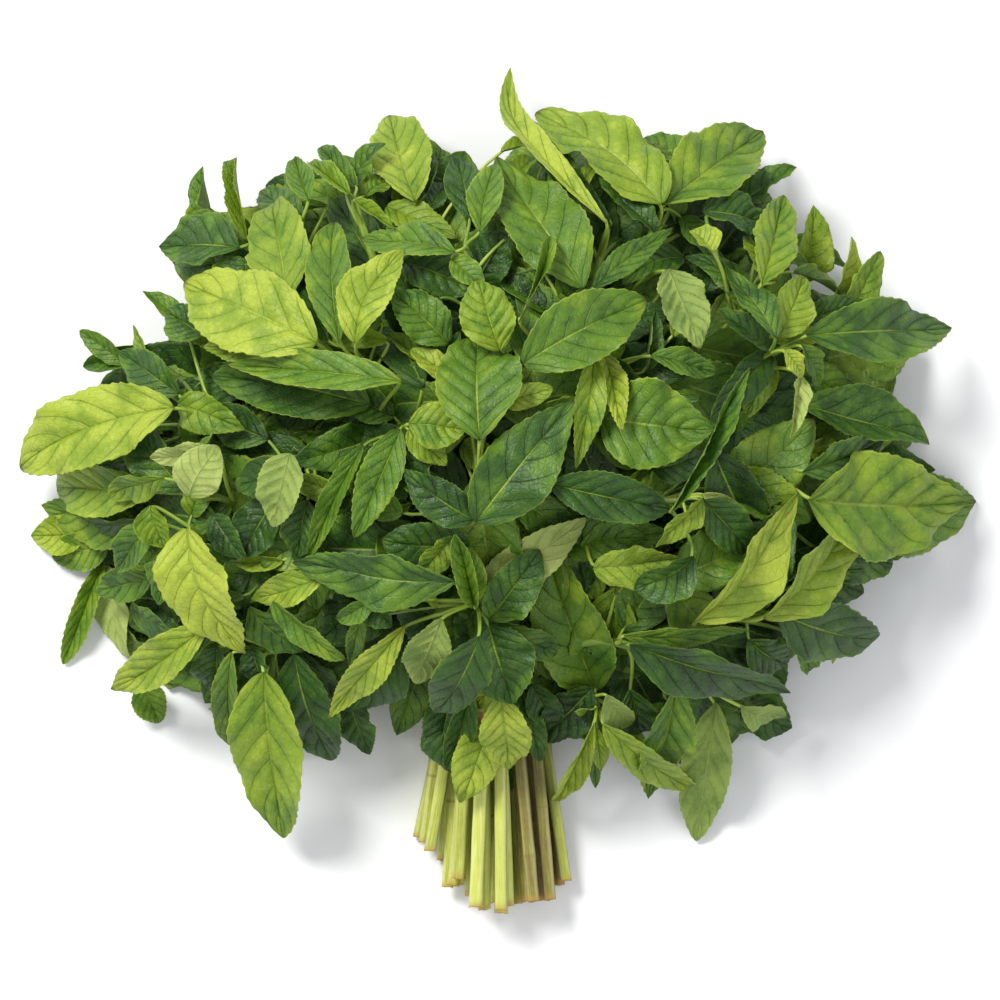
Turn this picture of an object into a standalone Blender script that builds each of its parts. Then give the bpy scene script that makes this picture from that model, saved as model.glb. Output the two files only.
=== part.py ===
"""A fresh-cut bunch of mint, tied near its cut ends and lying on its side.

Twenty-six stalks run from their cut ends through a small band and fan out into a loose dome of leaves.
Each stalk is two pieces: the bare stalk below (stem_NN) and the leafy shoot above (shoot_NN), whose axis,
petioles and blades grow as one body. The band round the stalks is a third kind of piece.

Frame: +X across the bunch, +Y from the cut ends to the shoot tips, +Z up from the surface it lies on.
The origin is below the middle of the bunch, at the height of that surface. The layout is drawn on a square
drafting grid, 1000 units on a side, of UNIT millimetres each, with its second axis running towards the cut ends.
"""

import math

import bmesh
import bpy
import numpy as np
from mathutils import Vector
from mathutils.bvhtree import BVHTree

# ---------------------------------------------------------------- drafting grid
UNIT = 0.27            # millimetres per drafting unit
TIE = (492.0, 722.0)   # where the bunch is tied, in drafting units
RIM = 15.0             # height of the leaf shell at its rim, mm
CROWN = 74.0           # further height of the shell at its crown, mm
DOME_C = (492.0, 448.0)
DOME_A = (448.0, 462.0, 372.0, 352.0)   # left, right, far, near
ROWS = ((7, 4.2), (7, 8.75), (6, 13.3), (4, 17.85), (2, 22.4))
PITCH = 4.72           # stalk spacing at the tie, mm
R_STALK = 2.1          # stalk radius at the tie, mm
R_TIP = 1.25           # stalk radius at a shoot's tip, mm
BARE = 24.0            # bare stalk above the tie, mm
GAP = 0.3              # clearance between touching pieces, mm


def xy(px, py):
    return np.array([(px - 500.0) * UNIT, (500.0 - py) * UNIT])


def unit(a):
    a = np.asarray(a, float)
    return a / max(1e-9, float(np.linalg.norm(a)))


def rnd(*key):
    """A repeatable number from 0 to 1 for a key."""
    h = 2166136261
    for k in key:
        for c in str(k):
            h = ((h ^ ord(c)) * 16777619) & 0xFFFFFFFF
    h ^= h >> 15
    h = (h * 2246822519) & 0xFFFFFFFF
    h ^= h >> 13
    h = (h * 3266489917) & 0xFFFFFFFF
    h ^= h >> 16
    return h / 4294967296.0


def dome(x, y):
    c = xy(*DOME_C)
    x = np.asarray(x, float) - c[0]
    y = np.asarray(y, float) - c[1]
    a = np.array(DOME_A) * UNIT
    ax = np.where(x < 0, a[0], a[1])
    ay = np.where(y > 0, a[2], a[3])
    r2 = (x / ax) ** 2 + (y / ay) ** 2
    return RIM + CROWN * np.clip(1.0 - r2, 0.0, 1.0) ** 0.85


def dome_normal(x, y):
    e = 3.0
    gx = (dome(x + e, y) - dome(x - e, y)) / (2 * e)
    gy = (dome(x, y + e) - dome(x, y - e)) / (2 * e)
    return unit((-0.8 * gx, -0.8 * gy, 1.0))


# ---------------------------------------------------------------- shoots
# number: tip on the drafting grid, how far the tip lies under its leaves, end direction (x, y, z) or None
SHOOTS = {
    1: (186, 408, 3, None), 2: (196, 488, 4, None), 3: (182, 530, 4, None), 4: (158, 572, 16, None),
    5: (288, 478, 8, None), 6: (262, 240, 4, None), 7: (325, 344, 4, None), 8: (357, 352, 6, None),
    9: (352, 196, 4, None), 10: (414, 206, 4, None), 11: (466, 246, 6, None), 12: (574, 292, 4, None),
    13: (608, 228, 3, None), 14: (662, 210, 4, None), 15: (606, 352, 5, (0.2, 0.6, 0.3)), 16: (764, 282, 4, None),
    17: (772, 348, 4, None), 18: (802, 446, 5, None), 19: (752, 618, 5, None), 20: (680, 500, 6, (0.3, -0.1, 0.1)),
    21: (478, 478, 5, (0.0, 0.3, 0.5)), 22: (400, 424, 4, (-0.4, 0.2, 0.3)), 23: (476, 606, 3, (0.0, -0.5, 0.2)),
    24: (262, 655, 5, (-0.5, -0.6, -0.4)), 25: (598, 704, 1, (0.02, -0.8, -0.55)), 26: (650, 655, 6, (0.6, -0.6, -0.3)),
}

# ---------------------------------------------------------------- the outer leaves
# shoot, layer (0 outermost), base, tip, width, tone (0 dark .. 1 bright), then options:
#   r roll in degrees (+ lifts the right side, looking from base to tip), f fold in degrees, b bend, s sweep,
#   u underside showing, d height added at the base, t height added at the tip, c curl, w waviness, q ribbing
LEAVES = (
    # left
    (1, 1, 176, 408, 18, 467, 75, .85, dict(b=.07, f=10, s=.04, t=4, q=.8)),
    (1, 3, 140, 452, 46, 438, 45, .12, dict(b=.05, d=-8)),
    (1, 3, 135, 428, 80, 441, 22, .25, dict(r=50)),
    (1, 2, 178, 404, 246, 430, 40, .6, dict(w=.12, b=.05)),
    (1, 4, 180, 395, 120, 352, 40, .3, dict(b=.08)),
    (2, 2, 186, 490, 120, 413, 55, .3, dict(f=15)),
    (2, 0, 192, 496, 224, 446, 44, .9, dict(u=1, r=-22, b=.1, t=4, q=.5)),
    (2, 0, 222, 450, 152, 458, 26, .9, dict(u=1, r=35, b=.05, d=4, t=2)),
    (2, 1, 166, 478, 110, 494, 26, .62, dict(r=40, f=20)),
    (2, 2, 152, 492, 46, 488, 52, .6, dict(b=.06, f=10)),
    (2, 3, 140, 528, 34, 505, 52, .55, dict(b=.06)),
    (2, 1, 196, 484, 216, 425, 26, .5, dict(r=45)),
    (3, 3, 82, 534, 24, 536, 42, .75, dict(f=15, d=-2)),
    (3, 3, 104, 545, 44, 556, 40, .6, dict(f=12)),
    (3, 2, 148, 522, 80, 524, 26, .15, dict(r=35)),
    (3, 0, 190, 528, 243, 658, 79, .95, dict(b=.09, f=8, s=.03, q=1.0)),
    (3, 1, 152, 505, 166, 548, 30, .6, dict(c=.5, r=20)),
    (3, 1, 154, 524, 116, 572, 36, .4, dict(f=14)),
    (3, 1, 176, 546, 160, 604, 36, .42, dict(b=.08)),
    (3, 1, 192, 516, 215, 474, 30, .55, dict(b=.08)),
    (3, 1, 214, 514, 248, 558, 36, .14, dict(b=.05, d=-5)),
    (4, 3, 98, 560, 56, 668, 30, .62, dict(f=35, d=-6, t=-6)),
    (4, 3, 102, 566, 122, 662, 44, .72, dict(u=1, d=-10, t=-8, q=.6)),
    (4, 2, 152, 578, 92, 592, 36, .35, dict(b=.05, d=-4)),
    (4, 3, 128, 610, 172, 632, 36, .3, dict(d=-10)),
    (4, 4, 118, 622, 146, 668, 34, .45, dict(u=1, d=-14, t=-8)),
    (4, 3, 136, 682, 154, 727, 30, .45, dict(f=35, d=-2, t=-9)),
    (4, 4, 150, 660, 184, 688, 32, .3, dict(u=1, d=-14, t=-8)),
    (5, 1, 326, 576, 250, 600, 32, .68, dict(b=.06, r=-15)),
    (5, 1, 294, 454, 278, 524, 46, .58, dict(u=1, b=.1, q=1.2)),
    (5, 3, 276, 500, 244, 556, 46, .15, dict(b=.05)),
    (5, 2, 300, 470, 236, 486, 40, .3, dict(b=.05)),
    (5, 2, 270, 440, 214, 410, 42, .25, dict(b=.08)),
    (5, 2, 310, 500, 300, 556, 40, .3, dict(b=.08)),
    # far left
    (6, 1, 240, 249, 162, 248, 62, .3, dict(b=.06, f=12, q=.8)),
    (6, 1, 247, 241, 234, 154, 28, .6, dict(f=55)),
    (6, 2, 302, 229, 256, 186, 36, .25, dict(b=.08)),
    (6, 2, 326, 204, 281, 214, 16, .55, dict(f=50)),
    (6, 1, 310, 202, 296, 157, 20, .45, dict(f=50)),
    (6, 2, 250, 262, 214, 300, 36, .22, dict(b=.05, d=-6)),
    (7, 1, 290, 302, 271, 199, 62, .68, dict(b=.07, f=12, q=.6)),
    (7, 0, 320, 346, 183, 281, 86, .85, dict(b=.08, f=8, q=1.0)),
    (7, 1, 302, 360, 204, 345, 42, .66, dict(b=.05, r=-18)),
    (7, 2, 204, 336, 166, 311, 40, .3, dict(d=-5)),
    (7, 0, 404, 384, 234, 368, 36, .48, dict(f=28, b=.05, r=-12)),
    (7, 1, 372, 406, 216, 377, 62, .3, dict(b=.06, f=14)),
    (7, 3, 250, 392, 196, 372, 44, .2, dict(d=-6)),
    (8, 0, 357, 346, 405, 251, 50, .8, dict(f=16, b=.1, s=-.06, t=3)),
    (8, 1, 342, 346, 334, 221, 38, .5, dict(f=35, b=.06)),
    (8, 2, 330, 343, 299, 262, 28, .2, dict(f=30)),
    (8, 1, 450, 346, 394, 296, 46, .3, dict(b=.09)),
    (8, 2, 352, 366, 330, 420, 34, .3, dict(b=.06)),
    (8, 3, 330, 384, 292, 428, 40, .15, dict(b=.05)),
    (9, 2, 386, 286, 329, 189, 46, .2, dict(b=.07, f=12)),
    (9, 1, 351, 196, 308, 159, 24, .6, dict(f=40)),
    (9, 1, 357, 188, 319, 146, 22, .4, dict(f=30)),
    (9, 1, 345, 188, 384, 142, 32, .35, dict(b=.06)),
    (9, 2, 364, 196, 392, 176, 26, .5, dict(b=.08)),
    (9, 0, 356, 202, 396, 232, 16, .6, dict(f=40)),
    (9, 2, 346, 214, 318, 250, 30, .3, dict(b=.05)),
    (10, 1, 415, 202, 388, 112, 60, .68, dict(b=.07, f=10, q=.8)),
    (10, 2, 426, 194, 432, 154, 22, .25, dict(f=20)),
    (10, 1, 386, 206, 458, 240, 36, .6, dict(b=.08, f=12)),
    (10, 3, 430, 210, 446, 180, 30, .15, dict()),
    (11, 0, 456, 256, 361, 239, 38, .45, dict(f=20, b=.05)),
    (11, 1, 452, 262, 486, 292, 26, .5, dict(f=25)),
    (11, 3, 402, 264, 482, 292, 48, .18, dict(b=.05, d=-6)),
    (11, 1, 470, 222, 454, 154, 38, .25, dict(b=.07)),
    (11, 0, 480, 236, 496, 167, 36, .5, dict(b=.07, f=15)),
    (11, 3, 470, 292, 506, 236, 54, .12, dict(b=-.04, d=-12)),
    (11, 2, 440, 300, 412, 338, 40, .25, dict(b=.05)),
    # far middle
    (12, 1, 582, 292, 497, 164, 76, .45, dict(b=.07, f=12, q=.8)),
    (12, 2, 510, 184, 536, 156, 22, .6, dict(c=.5)),
    (12, 0, 518, 326, 550, 237, 18, .6, dict(f=58, s=.05)),
    (12, 0, 500, 354, 478, 279, 52, .68, dict(b=.1, q=1.5)),
    (12, 1, 592, 291, 671, 231, 26, .28, dict(f=20)),
    (12, 2, 560, 306, 588, 262, 34, .35, dict(b=.05)),
    (13, 0, 606, 226, 510, 66, 30, .8, dict(f=34, s=-.13, b=.05)),
    (13, 1, 609, 223, 529, 117, 32, .12, dict(s=-.08, f=14, b=.04)),
    (13, 2, 624, 238, 612, 288, 34, .3, dict(b=.05)),
    (14, 0, 661, 206, 536, 111, 84, .68, dict(b=.08, f=8, q=.9)),
    (14, 1, 663, 206, 761, 133, 74, .55, dict(b=.08, f=9, q=1.1)),
    (14, 3, 690, 164, 644, 136, 44, .5, dict(d=-4)),
    (14, 1, 656, 236, 617, 199, 26, .25, dict(f=25)),
    (14, 0, 666, 272, 696, 352, 50, .52, dict(u=1, q=1.3, b=.06)),
    (14, 2, 680, 216, 716, 262, 30, .4, dict(b=.06)),
    (15, 0, 522, 367, 642, 304, 62, .5, dict(b=.09, f=16, r=-14, q=.6)),
    (15, 1, 748, 312, 684, 258, 32, .3, dict(b=.16, s=.1)),
    (15, 1, 684, 258, 621, 288, 30, .28, dict(b=.1, s=.1)),
    (15, 1, 592, 358, 574, 470, 22, .66, dict(f=50, b=.06)),
    (15, 1, 602, 354, 619, 434, 28, .75, dict(f=30, b=.06, q=1.2)),
    (15, 2, 606, 360, 648, 410, 18, .3, dict(f=45)),
    (15, 2, 648, 358, 712, 374, 28, .42, dict(b=.06)),
    (15, 1, 600, 420, 708, 432, 86, .5, dict(b=.08, f=6, q=.8)),
    # far right
    (16, 0, 712, 254, 690, 232, 30, .85, dict(c=.5, b=.1)),
    (16, 1, 702, 212, 772, 224, 48, .25, dict(b=.06)),
    (16, 1, 776, 282, 744, 234, 40, .68, dict(b=.08, q=1)),
    (16, 0, 760, 286, 784, 196, 38, .58, dict(f=40, b=.04)),
    (16, 1, 776, 338, 801, 279, 42, .66, dict(b=.08)),
    (16, 2, 730, 262, 690, 290, 34, .25, dict()),
    (17, 0, 774, 340, 724, 269, 32, .35, dict(f=30)),
    (17, 0, 770, 351, 714, 311, 26, .2, dict(f=20)),
    (17, 1, 770, 353, 705, 421, 36, .2, dict(f=14, b=.06)),
    (17, 0, 804, 336, 959, 325, 62, .38, dict(b=.07, f=9, s=.02, q=.7)),
    (17, 0, 782, 352, 801, 380, 22, .85, dict(b=.08)),
    (17, 0, 800, 376, 785, 441, 20, .85, dict(u=1, f=45)),
    (17, 1, 772, 354, 742, 421, 20, .6, dict(f=45)),
    (17, 1, 800, 346, 821, 387, 26, .4, dict(f=20)),
    (17, 3, 800, 322, 862, 300, 34, .2, dict(d=-8)),
    (18, 1, 800, 404, 933, 444, 52, .28, dict(c=.35, b=.07, r=18)),
    (18, 0, 806, 500, 964, 500, 104, .62, dict(b=.06, f=6, q=.8)),
    (18, 2, 850, 512, 991, 503, 84, .4, dict(b=.04, d=-4, t=-2)),
    (18, 1, 800, 472, 882, 441, 40, .35, dict(b=.05)),
    (18, 3, 812, 548, 900, 566, 50, .3, dict(d=-8, t=-4)),
    (19, 0, 694, 620, 801, 493, 56, .78, dict(f=26, b=.06, r=-12)),
    (19, 0, 762, 618, 864, 503, 58, .72, dict(f=26, b=.06, r=-12)),
    (19, 1, 776, 612, 888, 640, 64, .22, dict(b=.06, f=8, q=.8)),
    (19, 2, 800, 572, 864, 568, 26, .25, dict(d=-6)),
    (19, 3, 804, 640, 813, 674, 22, .42, dict(f=30, d=-8, t=-9)),
    (19, 2, 748, 640, 792, 668, 44, .2, dict(d=-4)),
    (20, 0, 668, 512, 746, 369, 28, .32, dict(f=45, b=.05)),
    (20, 0, 700, 498, 652, 546, 26, .72, dict(f=30, r=20)),
    (20, 1, 692, 556, 632, 590, 46, .25, dict(b=.08, c=.2)),
    (20, 1, 548, 484, 666, 508, 48, .2, dict(f=14, b=.07)),
    (20, 2, 700, 500, 746, 552, 44, .2, dict(b=.06)),
    (20, 2, 700, 494, 742, 520, 20, .8, dict(u=1, f=30)),
    (20, 3, 650, 470, 700, 455, 40, .2, dict(d=-5)),
    # crown
    (21, 0, 480, 442, 478, 334, 96, .4, dict(b=.08, f=6, q=.9)),
    (21, 0, 476, 522, 574, 401, 70, .33, dict(b=.09, f=12, q=.5)),
    (21, 2, 474, 520, 404, 470, 40, .2, dict(b=.07)),
    (21, 1, 462, 398, 430, 386, 22, .6, dict()),
    (21, 2, 484, 478, 536, 452, 40, .25, dict(b=.05)),
    (22, 0, 410, 425, 466, 431, 45, .6, dict(b=.08, q=1.2)),
    (22, 0, 410, 430, 448, 466, 30, .66, dict(b=.08)),
    (22, 0, 402, 430, 356, 538, 38, .52, dict(f=32, b=.05)),
    (22, 1, 366, 446, 310, 560, 26, .35, dict(f=30, b=.06)),
    (22, 1, 396, 418, 352, 398, 34, .35, dict(b=.07)),
    (22, 2, 398, 432, 430, 500, 42, .18, dict(b=.05)),
    (23, 2, 470, 545, 384, 540, 52, .18, dict(b=.06)),
    (23, 0, 456, 580, 296, 560, 54, .28, dict(f=16, b=.05, r=10)),
    (23, 1, 454, 535, 420, 572, 30, .6, dict(r=25)),
    (23, 0, 474, 604, 456, 532, 26, .5, dict(f=45)),
    (23, 0, 478, 600, 470, 545, 22, .55, dict(f=40)),
    (23, 1, 476, 600, 586, 518, 48, .9, dict(u=1, f=12, b=.05)),
    (23, 0, 490, 618, 540, 550, 48, .3, dict(b=.07, f=12)),
    (23, 0, 480, 634, 434, 716, 56, .25, dict(b=.08, f=9, q=.6)),
    (23, 1, 488, 622, 512, 700, 72, .28, dict(b=.07, f=10, q=.6)),
    (23, 2, 522, 660, 468, 711, 34, .66, dict(b=.05)),
    (23, 1, 496, 620, 556, 655, 38, .35, dict(b=.08)),
    (23, 1, 442, 616, 416, 682, 46, .5, dict(u=1, q=1.3, b=.06)),
    (23, 1, 406, 624, 328, 719, 34, .78, dict(f=20, b=.05)),
    (23, 2, 404, 648, 348, 708, 58, .2, dict(b=.05)),
    (23, 0, 376, 597, 337, 619, 21, .45, dict(c=.3)),
    (23, 0, 369, 597, 394, 625, 32, .25, dict(c=.4)),
    (23, 1, 364, 612, 350, 664, 15, .5, dict(f=40)),
    (23, 1, 369, 618, 356, 670, 15, .4, dict(f=40)),
    # near left
    (24, 1, 264, 672, 283, 838, 76, .62, dict(b=.06, f=10, q=.9)),
    (24, 1, 208, 624, 107, 691, 46, .8, dict(b=.06, r=-12)),
    (24, 2, 216, 646, 214, 692, 44, .28, dict(d=-3)),
    (24, 1, 232, 652, 231, 748, 26, .5, dict(f=38)),
    (24, 1, 252, 648, 266, 686, 36, .18, dict(b=.05)),
    (24, 1, 250, 606, 304, 653, 42, .38, dict(b=.06, f=12)),
    (24, 0, 275, 600, 347, 660, 28, .45, dict(f=20, b=.05)),
    (24, 2, 300, 652, 352, 702, 40, .2, dict(b=.05)),
    (24, 1, 294, 654, 328, 768, 64, .2, dict(b=.06, f=10)),
    (24, 3, 348, 700, 368, 758, 42, .22, dict(d=-8, t=-6)),
    # near the tie and near right
    (25, 1, 597, 692, 546, 547, 76, .42, dict(b=.07, f=14, r=8, q=.6)),
    (25, 0, 594, 722, 551, 811, 26, .75, dict(f=35, d=-3, t=-8)),
    (25, 0, 603, 724, 702, 797, 34, .75, dict(f=26, b=.06, d=-3, t=-7)),
    (25, 0, 597, 728, 602, 772, 17, .7, dict(f=35, d=-4)),
    (25, 1, 594, 730, 596, 790, 13, .4, dict(f=35, d=-6)),
    (25, 1, 606, 694, 632, 726, 32, .6, dict(u=1, q=1)),
    (25, 1, 592, 700, 578, 712, 20, .7, dict()),
    (25, 2, 562, 664, 533, 722, 42, .3, dict(b=.05)),
    (25, 2, 584, 698, 545, 733, 34, .08, dict(f=20)),
    (21, 1, 500, 694, 508, 769, 50, .78, dict(b=.1, f=9, d=-2, t=-8)),
    (23, 1, 492, 722, 460, 806, 52, .75, dict(b=.08, f=9, d=-2, t=6)),
    (23, 2, 442, 712, 455, 778, 46, .2, dict(b=.07, f=9, d=-4)),
    (23, 2, 464, 700, 470, 752, 16, .42, dict(f=25, d=-4)),
    (20, 2, 508, 696, 538, 734, 38, .3, dict(b=.06, d=-3)),
    (20, 3, 508, 752, 508, 799, 18, .3, dict(d=2)),
    (22, 3, 452, 700, 428, 732, 30, .3, dict(d=-4)),
    (26, 0, 628, 643, 791, 691, 58, .2, dict(f=16, b=.07, r=-8, q=.7)),
    (26, 1, 622, 634, 748, 630, 26, .55, dict(f=20, b=.04, r=-12)),
    (26, 2, 698, 640, 790, 652, 48, .2, dict(b=.04)),
    (26, 1, 676, 688, 650, 798, 56, .5, dict(q=1.3, f=12, b=.06)),
    (26, 2, 704, 716, 682, 769, 26, .35, dict(f=25, b=.08)),
    (26, 1, 718, 704, 700, 844, 48, .55, dict(u=1, q=1.3, f=10, b=.06, t=-6)),
    (26, 1, 742, 708, 787, 716, 32, .6, dict(u=1, b=.06, q=.8)),
    (26, 2, 746, 704, 797, 734, 46, .25, dict(d=-4, t=-3)),
    (26, 3, 630, 690, 640, 740, 44, .25, dict(d=-4)),
)


def leaf_profile(u, blunt):
    """Half-width of a mint blade along its length, 1 at its widest."""
    a, b = 0.55, 0.92 - 0.3 * blunt
    m = a / (a + b)
    peak = m ** a * (1 - m) ** b
    return np.clip(u, 0, 1) ** a * np.clip(1 - u, 0, 1) ** b / peak


def blade(leaf, us, vs, fine):
    """Points and normals of a leaf's middle surface on a grid of us along it and vs across it."""
    us = np.asarray(us, float)
    vs = np.asarray(vs, float)
    base, tip = leaf["base"], leaf["tip"]
    d = tip - base
    length = float(np.linalg.norm(d))
    dirn = d / max(length, 1e-6)
    ref = leaf["ref"]
    up = unit(ref - dirn * float(ref @ dirn))
    side = np.cross(dirn, up)
    fine_u = np.linspace(0, 1, 81)
    arch = np.sin(np.pi * fine_u ** 0.9)
    mid = (base[None] + d[None] * fine_u[:, None]
           + up[None] * (leaf["bend"] * length * arch)[:, None]
           + side[None] * (leaf["sweep"] * length * 4 * fine_u * (1 - fine_u))[:, None])
    tan = np.gradient(mid, fine_u, axis=0)
    tan /= np.linalg.norm(tan, axis=1)[:, None]
    m = np.stack([np.interp(us, fine_u, mid[:, i]) for i in range(3)], 1)
    t = np.stack([np.interp(us, fine_u, tan[:, i]) for i in range(3)], 1)
    n0 = up[None] - t * (t @ up)[:, None]
    n0 /= np.linalg.norm(n0, axis=1)[:, None]
    s0 = np.cross(t, n0)
    roll = leaf["roll"] + leaf["twist"] * (us - 0.4)
    s = s0 * np.cos(roll)[:, None] + n0 * np.sin(roll)[:, None]
    n = n0 * np.cos(roll)[:, None] - s0 * np.sin(roll)[:, None]
    hw = 0.5 * leaf["w"] * leaf_profile(us, leaf["blunt"])
    fold = leaf["fold"] * (1.0 - 0.25 * us)
    av = np.abs(vs)
    lat = hw[:, None] * vs[None] * np.cos(fold)[:, None]
    hgt = hw[:, None] * av[None] * np.sin(fold)[:, None] + leaf["curl"] * hw[:, None] * (vs ** 2)[None]
    if fine:
        seed = leaf["seed"]
        ph = 6.28 * rnd(seed, "ph")
        sgn = np.where(vs < 0, 1.0, 0.0)
        wave = np.sin(2 * np.pi * 2.1 * us[:, None] + ph + 2.1 * sgn[None]) + 0.5 * np.sin(2 * np.pi * 4.3 * us[:, None] + 1.7 * ph + sgn[None])
        hgt = hgt + leaf["wave"] * hw[:, None] * (av ** 2.2)[None] * wave
        teeth = leaf["teeth"]
        saw = (us[:, None] * teeth + 0.37 * sgn[None] + rnd(seed, "t")) % 1.0
        tooth = np.where(saw < 0.78, saw / 0.78, (1 - saw) / 0.22) - 0.45
        envelope = np.clip(us / 0.16, 0, 1)[:, None] * np.clip((1 - us) / 0.05, 0, 1)[:, None]
        lat = lat + np.sign(vs)[None] * leaf["w"] * 0.042 * tooth * envelope * (av ** 14)[None]
        line = us[:, None] - 0.26 * (av ** 1.25)[None] - 0.012 * sgn[None]
        puff = np.abs(np.sin(np.pi * leaf["veins"] * line + 0.4)) ** 0.7 - 0.6
        amp = 0.042 * leaf["quilt"] * leaf["w"] * (0.35 + 0.65 * np.clip(us / 0.2, 0, 1)) * np.clip((1 - us) / 0.2, 0, 1) ** 0.7
        sign = -1.0 if leaf["under"] else 1.0
        hgt = hgt + sign * amp[:, None] * puff * (np.clip(av / 0.16, 0, 1) * (1 - av ** 4))[None]
        hgt = hgt - sign * 0.02 * leaf["w"] * np.exp(-(vs / 0.07) ** 2)[None] * np.clip((1 - us) / 0.3, 0, 1)[:, None]
    pts = m[:, None, :] + s[:, None, :] * lat[:, :, None] + n[:, None, :] * hgt[:, :, None]
    nrm = n[:, None, :] * np.cos(fold)[:, None, None] - s[:, None, :] * (np.sign(vs)[None, :, None] * np.sin(fold)[:, None, None])
    return pts, nrm


def make_leaf(shoot, key, base, tip, width, tone, ref, opts):
    length = float(np.linalg.norm(tip - base))
    fold = math.radians(opts.get("f", 6 + 12 * rnd(key, "f")))
    roll = math.radians(opts.get("r", 0))
    natural = width / max(0.3, math.cos(fold) * math.cos(roll))
    natural = min(natural, 0.72 * length + 1.0)
    return dict(shoot=shoot, key=key, seed=key, base=base, tip=tip, w=natural, tone=tone, ref=ref,
                fold=fold, roll=roll, twist=math.radians(30 * (rnd(key, "tw") - 0.5)), bend=opts.get("b", 0.05), sweep=opts.get("s", 0.05 * (rnd(key, "s") - 0.5)),
                curl=opts.get("c", 0.0), wave=opts.get("w", 0.05 + 0.05 * rnd(key, "w")), under=opts.get("u", 0),
                quilt=opts.get("q", 0.55 + 0.5 * rnd(key, "q")), veins=5.6 + 1.6 * rnd(key, "v"),
                teeth=9.0 + 4.0 * rnd(key, "n"), blunt=rnd(key, "b"), age=rnd(key, "age"))


CELL = 2.0
HALF = 160.0
NCELL = int(2 * HALF / CELL)


def cells(pts):
    i = np.clip(((pts[..., 0] + HALF) / CELL).astype(int), 0, NCELL - 1)
    j = np.clip(((pts[..., 1] + HALF) / CELL).astype(int), 0, NCELL - 1)
    return i, j


COARSE_U = np.linspace(0.0, 1.0, 23)
COARSE_V = np.linspace(-1.0, 1.0, 11)


def tuck_under(leaf, low, gap, most):
    """Lowers a leaf, at one end or at both, until it lies under everything already placed."""
    pts, _ = blade(leaf, COARSE_U, COARSE_V, False)
    i, j = cells(pts)
    room = low[i, j] - gap - pts[..., 2]
    uu = np.repeat(COARSE_U[:, None], len(COARSE_V), 1)
    if room.min() >= 0:
        return 0.0
    both = float(room.min())
    at_tip = float((room[uu > 0.05] / uu[uu > 0.05]).min())
    at_base = float((room[uu < 0.95] / (1 - uu[uu < 0.95])).min())
    at_tip = min(at_tip, 0.0)
    at_base = min(at_base, 0.0)
    tries = [(both, both), (0.0, at_tip), (at_base, 0.0)]
    if (room[uu <= 0.05] < 0).any():
        tries = [(both, both), (at_base, 0.0)]
    lb, lt = min(tries, key=lambda p: -(p[0] + p[1]) + 3 * max(0.0, -min(p) - 18))
    lb, lt = max(lb, -most), max(lt, -most)
    leaf["base"] = leaf["base"] + np.array([0, 0, lb])
    leaf["tip"] = leaf["tip"] + np.array([0, 0, lt])
    return min(lb, lt)


def settle(leaf, floor=0.5):
    """Keeps a leaf above the surface that the bunch lies on."""
    pts, _ = blade(leaf, COARSE_U, COARSE_V, False)
    for end, part in (("base", pts[:12]), ("tip", pts[12:])):
        low = float(part[..., 2].min())
        if low < floor:
            leaf[end] = leaf[end] + np.array([0, 0, floor - low])


def press(leaf, low):
    pts, _ = blade(leaf, COARSE_U, COARSE_V, False)
    i, j = cells(pts)
    np.minimum.at(low, (i, j), pts[..., 2])


def outer_leaves(low):
    made = []
    order = sorted(range(len(LEAVES)), key=lambda k: (LEAVES[k][1], k))
    for k in order:
        shoot, layer, bx, by, tx, ty, width, tone, opts = LEAVES[k]
        b, t = xy(bx, by), xy(tx, ty)
        zb = float(dome(*b)) - 2.0 * layer + opts.get("d", 0)
        zt = float(dome(*t)) - 2.0 * layer + opts.get("t", 0) - 2.0
        c = 0.5 * (b + t)
        base, tip = np.array([*b, max(zb, 3.0)]), np.array([*t, max(zt, 2.0)])
        leaf = make_leaf(shoot, k, base, tip, width * UNIT, tone, dome_normal(*c), opts)
        tuck_under(leaf, low, 1.6, 34.0)
        settle(leaf)
        press(leaf, low)
        leaf["hero"] = True
        leaf["layer"] = layer
        made.append(leaf)
    return made


def bezier(p, n):
    t = np.linspace(0, 1, n)[:, None]
    return ((1 - t) ** 3 * p[0] + 3 * (1 - t) ** 2 * t * p[1] + 3 * (1 - t) * t ** 2 * p[2] + t ** 3 * p[3])


def resample(path, n):
    d = np.concatenate([[0], np.cumsum(np.linalg.norm(np.diff(path, axis=0), axis=1))])
    s = np.linspace(0, d[-1], n)
    return np.stack([np.interp(s, d, path[:, i]) for i in range(3)], 1)


# where the cut ends lie: lateral place from the middle of the bunch, and reach below the tie, in drafting units
ENDS = ((-82, 98), (-76, 124), (-66, 138), (-52, 148), (-44, 176), (-30, 164), (-22, 188), (-10, 197),
        (8, 197), (20, 196), (30, 190), (40, 186), (48, 188), (58, 190), (66, 182), (76, 168), (84, 60))


def end_reach(x, row, k):
    """How far below the tie a stalk is cut, from its lateral place."""
    table = sorted(ENDS)
    r = float(np.interp(x, [e[0] for e in table], [e[1] for e in table]))
    return r - 3 * (4 - row) * rnd("end", k) - 6 * rnd("end2", k)


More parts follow.
